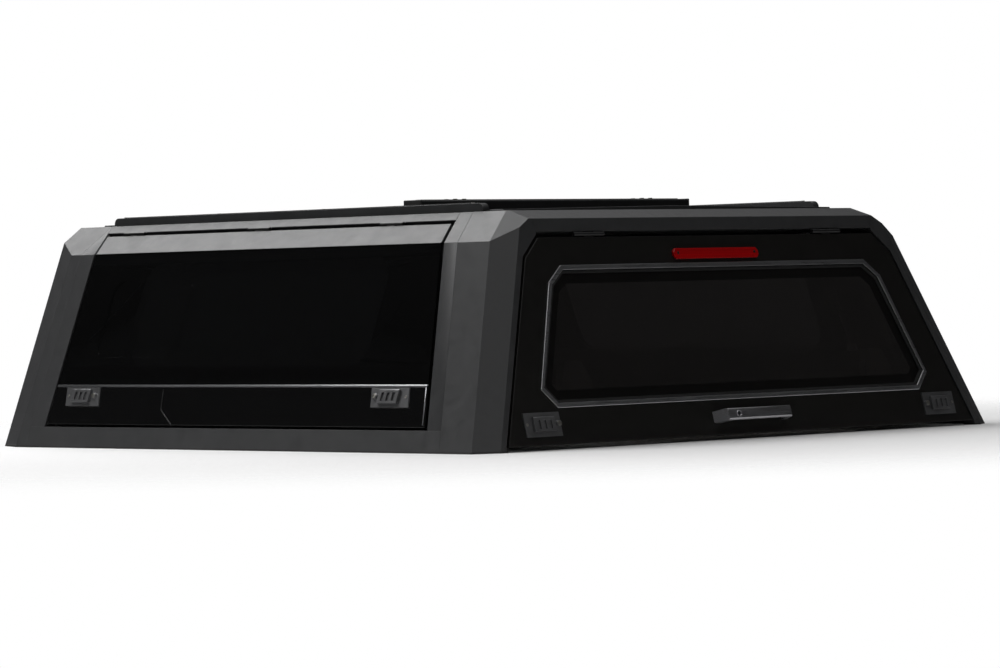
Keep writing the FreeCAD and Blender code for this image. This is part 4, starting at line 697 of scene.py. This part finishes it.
class CANOPY_OT_screws(bpy.types.Operator):
    """Screws and rivets of the lamp, the latches, the rails and the roof bar"""

    bl_idname = "canopy.screws"
    bl_label = "Add Screws"

    def execute(self, context):
        lamp = [(on_rear(side * LAMP_HALF, LAMP_HEIGHT, LAMP_FACE), rear_normal()) for side, _ in SIDES]
        add_screws("lamp_screws", "rear_door", LAMP_SCREW, lamp, "black_metal")
        rivets = [(on_rear(side * REAR_RIVET_HALF, REAR_LATCH_HEIGHT, PLATE_FACE), rear_normal())
                  for side, _ in SIDES]
        add_screws("rear_latch_rivets", "rear_door", RIVET, rivets)
        for side, name in SIDES:
            rivets = [(on_side(side, y, SIDE_LATCH_HEIGHT, PLATE_FACE), side_normal(side))
                      for y in SIDE_RIVETS]
            add_screws(f"{name}_latch_rivets", f"{name}_door", RIVET, rivets)
        low, high = box_of("roof_bar")
        middle, top = (low.y + high.y) / 2, high.z - BAR_BOLT_SUNK
        bolts = [(Vector((x, middle + y, top)), UP) for x in BAR_BOLTS_ACROSS for y in BAR_BOLTS_ALONG]
        add_screws("roof_bar_bolts", "frame", BAR_BOLT, bolts)
        top = box_of("roof_rails")[1].z - RAIL_BOLT_SUNK
        ends = [(Vector((side * RAIL_HALF, y, top)), UP) for side, _ in SIDES for y in RAIL_BOLTS]
        add_screws("rail_bolts", "frame", RAIL_BOLT, ends)
        return {"FINISHED"}


# A lock's key face, and its key slot as a block that is cut from it at a height.
KEY_RADIUS, KEY_TALL = 0.0062, 0.0016
KEY_SLOT, KEY_SLOT_HEIGHT = (0.0016, 0.0075, 0.002), 0.0014


class CANOPY_OT_lock_faces(bpy.types.Operator):
    """Key faces of the lock cylinders, each with its slot"""

    bl_idname = "canopy.lock_faces"
    bl_label = "Add Lock Faces"

    def model(self):
        face = disc(KEY_RADIUS, KEY_TALL, 28)
        slit = block(*KEY_SLOT, (0, 0, KEY_SLOT_HEIGHT))
        modify(face, "BOOLEAN", object=slit, operation="DIFFERENCE")
        bpy.data.objects.remove(slit)
        soften(face, 0.0003, angle=40)
        return face

    def execute(self, context):
        for side, name in SIDES:
            places = [(on_side(side, y, SIDE_LATCH_HEIGHT, LOCK_FACE), side_normal(side)) for y in SIDE_LOCKS]
            locks = placed_copies(self.model(), places, (0, 1, 0))
            finish_piece(locks, f"{name}_lock_faces", f"{name}_door", "zinc_steel")
        places = [(on_rear(side * REAR_LOCK_HALF, REAR_LATCH_HEIGHT, LOCK_FACE), rear_normal())
                  for side, _ in SIDES]
        finish_piece(placed_copies(self.model(), places), "rear_lock_faces", "rear_door", "zinc_steel")
        return {"FINISHED"}


# Collars: outer radius, length and wall, the lip left at each end, and the part that laps over the tube.
COLLAR_RADIUS, COLLAR_LONG, COLLAR_WALL, COLLAR_LIP, COLLAR_LAP = 0.0104, 0.016, 0.0011, 0.0012, 0.0155
# Share of a strut's length that its tube takes.
TUBE_SHARE = 0.68
# Side struts: the frame ball's distance from the centre, its height, the two places along the bed and the way
# to the door's ball, for the right side.
SIDE_BALL_HALF, SIDE_BALL_HEIGHT, SIDE_BALLS = 0.590256, 0.476078, (-0.5275, 0.6265)
SIDE_STRUT = Vector((0.155, 0, -0.283))
# Rear struts: the frame ball and the way to the door's ball, for the right side.
REAR_BALL, REAR_STRUT = Vector((0.735, -0.6905, 0.17)), Vector((-0.15, -0.0279795, 0.222))


class CANOPY_OT_strut_collars(bpy.types.Operator):
    """Black end collars where the struts' rods leave their tubes"""

    bl_idname = "canopy.strut_collars"
    bl_label = "Add Strut Collars"

    def model(self):
        collar = disc(COLLAR_RADIUS, COLLAR_LONG, 32)
        select_faces(collar, lambda centre, normal: abs(normal.z) > 0.9)
        bpy.ops.mesh.inset(thickness=COLLAR_LIP, use_individual=True)
        bpy.ops.mesh.delete(type="FACE")
        bpy.ops.object.mode_set(mode="OBJECT")
        modify(collar, "SOLIDIFY", thickness=COLLAR_WALL, offset=-1)
        soften(collar, 0.0004, angle=40)
        return collar

    def place(self, ball, way):
        """Where a collar stands on its strut, and the way that it faces."""
        return ball + way * TUBE_SHARE - way.normalized() * COLLAR_LAP, way

    def execute(self, context):
        for side, name in SIDES:
            way = Vector((side * SIDE_STRUT.x, SIDE_STRUT.y, SIDE_STRUT.z))
            pair = [self.place(Vector((side * SIDE_BALL_HALF, y, SIDE_BALL_HEIGHT)), way) for y in SIDE_BALLS]
            collars = placed_copies(self.model(), pair, (0, 1, 0))
            finish_piece(collars, f"{name}_strut_collars", f"{name}_strut_tubes", "black_metal")
            ball = Vector((side * REAR_BALL.x, REAR_BALL.y, REAR_BALL.z))
            way = Vector((side * REAR_STRUT.x, REAR_STRUT.y, REAR_STRUT.z))
            collar = placed_copies(self.model(), [self.place(ball, way)])
            finish_piece(collar, f"rear_{name}_strut_collar", f"rear_{name}_tube", "black_metal")
        return {"FINISHED"}


# Rubber strips: their thickness, their middle's height over the metal, and their sizes on a rail and the bar.
STRIP_THICK, STRIP_LIFT = 0.0022, 0.0006
RAIL_STRIP, RAIL_STRIP_MIDDLE, BAR_STRIP = (0.007, 1.24), 0.09, (0.88, 0.02)
# Caps of the bar's ends: their size, how far their middle lies past the bar's end and under the bar's top.
BAR_CAP, BAR_CAP_PAST, BAR_CAP_UNDER = (0.005, 0.0615, 0.0262), 0.0015, 0.0125


class CANOPY_OT_roof_strips(bpy.types.Operator):
    """Rubber strips on the roof rails and on the bar, and the bar's end caps"""

    bl_idname = "canopy.roof_strips"
    bl_label = "Add Roof Strips"

    def execute(self, context):
        rail_top = box_of("roof_rails")[1].z + STRIP_LIFT
        low, high = box_of("roof_bar")
        middle = (low.y + high.y) / 2
        strips = [block(*RAIL_STRIP, STRIP_THICK, (side * RAIL_HALF, RAIL_STRIP_MIDDLE, rail_top))
                  for side, _ in SIDES]
        strips.append(block(*BAR_STRIP, STRIP_THICK, (0, middle, high.z + STRIP_LIFT)))
        every = joined(strips)
        soften(every, 0.0009)
        select_faces(every, lambda centre, normal: normal.z > 0.95)
        bpy.ops.mesh.inset(thickness=0.0012, depth=-0.0006, use_individual=True)
        bpy.ops.object.mode_set(mode="OBJECT")
        finish_piece(every, "roof_strips", "frame", "seal_rubber")
        caps = [block(*BAR_CAP, (side * (high.x + BAR_CAP_PAST), middle, high.z - BAR_CAP_UNDER))
                for side, _ in SIDES]
        caps = joined(caps)
        soften(caps, 0.006, segments=4)
        finish_piece(caps, "roof_bar_caps", "frame", "seal_rubber")
        return {"FINISHED"}


# Inner latches: their face behind the rear plane, the catch's place, radius and height, and the steps of its
# ring-shaped groove.
INNER_FACE = 0.0468
CATCH_HALF, CATCH_HEIGHT, CATCH_RADIUS, CATCH_TALL = 0.5175, 0.125, 0.021, 0.006
CATCH_STEP, CATCH_GROOVE, CATCH_KNOB = 0.006, 0.0025, 0.0045
CATCH_SCREWS_ACROSS, CATCH_SCREWS_UP = (0.482, 0.553), (0.075, 0.145)
# Rim of the handle's eye: its two radii, and its place across, up and out of the rear plane.
EYE_RADIUS, EYE_RIM, EYE_PLACE = 0.0068, 0.0012, (-0.072, 0.052, 0.0358)


class CANOPY_OT_inner_latches(bpy.types.Operator):
    """Turning catches and screws of the rear door's inner latches, and the rim of the handle's eye"""

    bl_idname = "canopy.inner_latches"
    bl_label = "Add Inner Latch Details"

    def catch_model(self):
        catch = disc(CATCH_RADIUS, CATCH_TALL, 36)
        select_faces(catch, lambda centre, normal: normal.z > 0.9)
        bpy.ops.mesh.inset(thickness=CATCH_STEP)
        sink(CATCH_GROOVE)
        bpy.ops.mesh.inset(thickness=CATCH_STEP)
        sink(-CATCH_KNOB)
        bpy.ops.object.mode_set(mode="OBJECT")
        soften(catch, 0.0006, angle=40)
        return catch

    def execute(self, context):
        inward = -rear_normal()
        places = [(on_rear(side * CATCH_HALF, CATCH_HEIGHT, -INNER_FACE), inward) for side, _ in SIDES]
        catches = placed_copies(self.catch_model(), places)
        finish_piece(catches, "inner_latch_catches", "rear_door", "zinc_steel")
        spots = [(x, z) for x in CATCH_SCREWS_ACROSS for z in CATCH_SCREWS_UP]
        places = [(on_rear(side * x, z, -INNER_FACE), inward) for side, _ in SIDES for x, z in spots]
        add_screws("inner_latch_screws", "rear_door", CATCH_SCREW, places)
        deselect()
        bpy.ops.mesh.primitive_torus_add(major_radius=EYE_RADIUS, minor_radius=EYE_RIM, major_segments=32,
                                         minor_segments=10)
        rim = placed_copies(bpy.context.object, [(on_rear(*EYE_PLACE), rear_normal())])
        finish_piece(rim, "handle_eye_rim", "rear_door", "trim_metal")
        return {"FINISHED"}


# The floor's radius, and how many times its reach it takes to fade away.
FLOOR_RADIUS, FLOOR_FADE = 30, 3
# Each soft lamp's place, the length of its sides and the setting of its power. All face one point.
LAMPS = {
    "top_lamp": ((0.0, 1.2, 4.8), 5.0, "key"),
    "side_lamp": ((-2.2, 1.6, 4.6), 2.6, "side"),
    "back_lamp": ((1.6, 5.2, 4.2), 3.6, "back"),
    "rear_lamp": ((0.0, -4.0, 5.0), 3.0, "rear"),
    "right_lamp": ((3.0, 1.0, 4.5), 3.0, "far"),
}
LAMP_AIM = (0, 0, 0.3)
# The backdrop's light: what it adds from above, what it adds from the left, and what it gives all round.
SKY_ABOVE, SKY_LEFT, SKY_ROUND = 0.05, 0.016, 0.007
# The photograph's viewpoint and aim in metres, and the camera's roll in radians.
VIEWPOINT, VIEW_AIM, VIEW_ROLL = Vector((-7.543, -7.8125, 0.372)), Vector((0.0, -0.03, 0.25)), -0.0237


class CANOPY_OT_stage(bpy.types.Operator):
    """Set up the floor, the lamps, the backdrop and the camera"""

    bl_idname = "canopy.stage"
    bl_label = "Set Up the Studio"

    def execute(self, context):
        stage = context.scene.canopy_stage
        self.floor(stage)
        self.lamps(stage)
        self.backdrop(context.scene)
        self.camera(context.scene, stage)
        context.scene.view_settings.view_transform = "Standard"
        return {"FINISHED"}

    def floor(self, stage):
        deselect()
        bpy.ops.mesh.primitive_circle_add(vertices=96, radius=FLOOR_RADIUS, fill_type="NGON")
        floor = bpy.context.object
        floor.name = "studio_floor"
        material, tree = new_material("Pale floor")
        coords = object_coords(tree)
        away = node(tree, "ShaderNodeVectorMath", {0: coords}, operation="LENGTH").outputs["Value"]
        fade = node(tree, "ShaderNodeMapRange", {"Value": away, "From Min": stage.floor_reach,
                                                 "From Max": stage.floor_reach * FLOOR_FADE, "To Min": 1.0,
                                                 "To Max": 0.0},
                    interpolation_type="SMOOTHSTEP").outputs["Result"]
        speckle = mix(tree, noise(tree, coords, 60.0, detail=3.0), tinted(stage.floor, 0.99), stage.floor)
        pale = node(tree, "ShaderNodeBsdfPrincipled", {"Base Color": speckle, "Roughness": 0.7,
                                                       "Specular IOR Level": 0.2})
        clear = node(tree, "ShaderNodeBsdfTransparent")
        shown = node(tree, "ShaderNodeMixShader", {0: fade, 1: clear.outputs[0], 2: pale.outputs[0]})
        close_material(tree, shown.outputs[0])
        floor.data.materials.append(material)

    def lamps(self, stage):
        for name, (place, wide, setting) in LAMPS.items():
            deselect()
            bpy.ops.object.light_add(type="AREA", location=place)
            lamp = bpy.context.object
            lamp.name = name
            lamp.data.shape = "SQUARE"
            lamp.data.size = wide
            lamp.data.energy = getattr(stage, setting)
            lamp.rotation_euler = (Vector(LAMP_AIM) - Vector(place)).to_track_quat("-Z", "Y").to_euler()
            lamp.visible_camera = False

    def backdrop(self, scene):
        """White where the camera sees it, and much softer where it lights the canopy."""
        world = bpy.data.worlds.new("Studio")
        world.use_nodes = True
        scene.world = world
        tree = world.node_tree
        tree.nodes.clear()
        direction = node(tree, "ShaderNodeTexCoord").outputs["Generated"]
        parts = node(tree, "ShaderNodeSeparateXYZ", {"Vector": direction}).outputs
        above = math_node(tree, "MULTIPLY", span(tree, parts["Z"], 0.0, 1.0, 0.15, 0.95), SKY_ABOVE)
        left = span(tree, parts["X"], 0.0, SKY_LEFT, 0.0, -1.0)
        level = math_node(tree, "ADD", above, math_node(tree, "ADD", left, SKY_ROUND))
        light = mix(tree, level, (0, 0, 0), (1, 1, 1.02))
        path = node(tree, "ShaderNodeLightPath").outputs
        seen = math_node(tree, "MAXIMUM", path["Is Camera Ray"], path["Is Transmission Ray"])
        background = node(tree, "ShaderNodeBackground", {"Color": mix(tree, seen, light, (1, 1, 1))})
        node(tree, "ShaderNodeOutputWorld", {"Surface": background.outputs[0]})

    def camera(self, scene, stage):
        """The photograph's viewpoint, aimed at the canopy."""
        deselect()
        bpy.ops.object.camera_add(location=VIEWPOINT)
        camera = bpy.context.object
        camera.rotation_mode = "QUATERNION"
        facing = (VIEW_AIM - VIEWPOINT).to_track_quat("-Z", "Y")
        camera.rotation_quaternion = facing @ Quaternion((0, 0, 1), VIEW_ROLL)
        camera.data.sensor_width = 36
        camera.data.lens = stage.lens
        camera.data.clip_end = 200
        scene.camera = camera


class CANOPY_PT_panel(bpy.types.Panel):
    bl_label = "Truck Canopy"
    bl_idname = "CANOPY_PT_panel"
    bl_space_type = "VIEW_3D"
    bl_region_type = "UI"
    bl_category = "Canopy"

    def draw(self, context):
        for group in (context.scene.canopy_finishes, context.scene.canopy_stage):
            box = self.layout.box()
            for name in group.__annotations__:
                box.prop(group, name)
        for operator in OPERATORS:
            self.layout.operator(operator.bl_idname)


GROUPS = (CanopyFinishes, CanopyStage)
OPERATORS = (CANOPY_OT_finishes, CANOPY_OT_edges, CANOPY_OT_belt_trims_and_highlights, CANOPY_OT_seals,
             CANOPY_OT_glass_bands, CANOPY_OT_screws, CANOPY_OT_lock_faces, CANOPY_OT_strut_collars,
             CANOPY_OT_roof_strips, CANOPY_OT_inner_latches, CANOPY_OT_stage)


def register():
    for item in (*GROUPS, *OPERATORS, CANOPY_PT_panel):
        bpy.utils.register_class(item)
    bpy.types.Scene.canopy_finishes = PointerProperty(type=CanopyFinishes)
    bpy.types.Scene.canopy_stage = PointerProperty(type=CanopyStage)


def unregister():
    del bpy.types.Scene.canopy_finishes
    del bpy.types.Scene.canopy_stage
    for item in reversed((*GROUPS, *OPERATORS, CANOPY_PT_panel)):
        bpy.utils.unregister_class(item)


def main():
    register()
    bpy.ops.canopy.finishes()
    bpy.ops.canopy.edges()
    bpy.ops.canopy.belt_trims()
    bpy.ops.canopy.seals()
    bpy.ops.canopy.glass_bands()
    bpy.ops.canopy.screws()
    bpy.ops.canopy.lock_faces()
    bpy.ops.canopy.strut_collars()
    bpy.ops.canopy.roof_strips()
    bpy.ops.canopy.inner_latches()
    bpy.ops.canopy.stage()


if __name__ == "__main__":
    main()
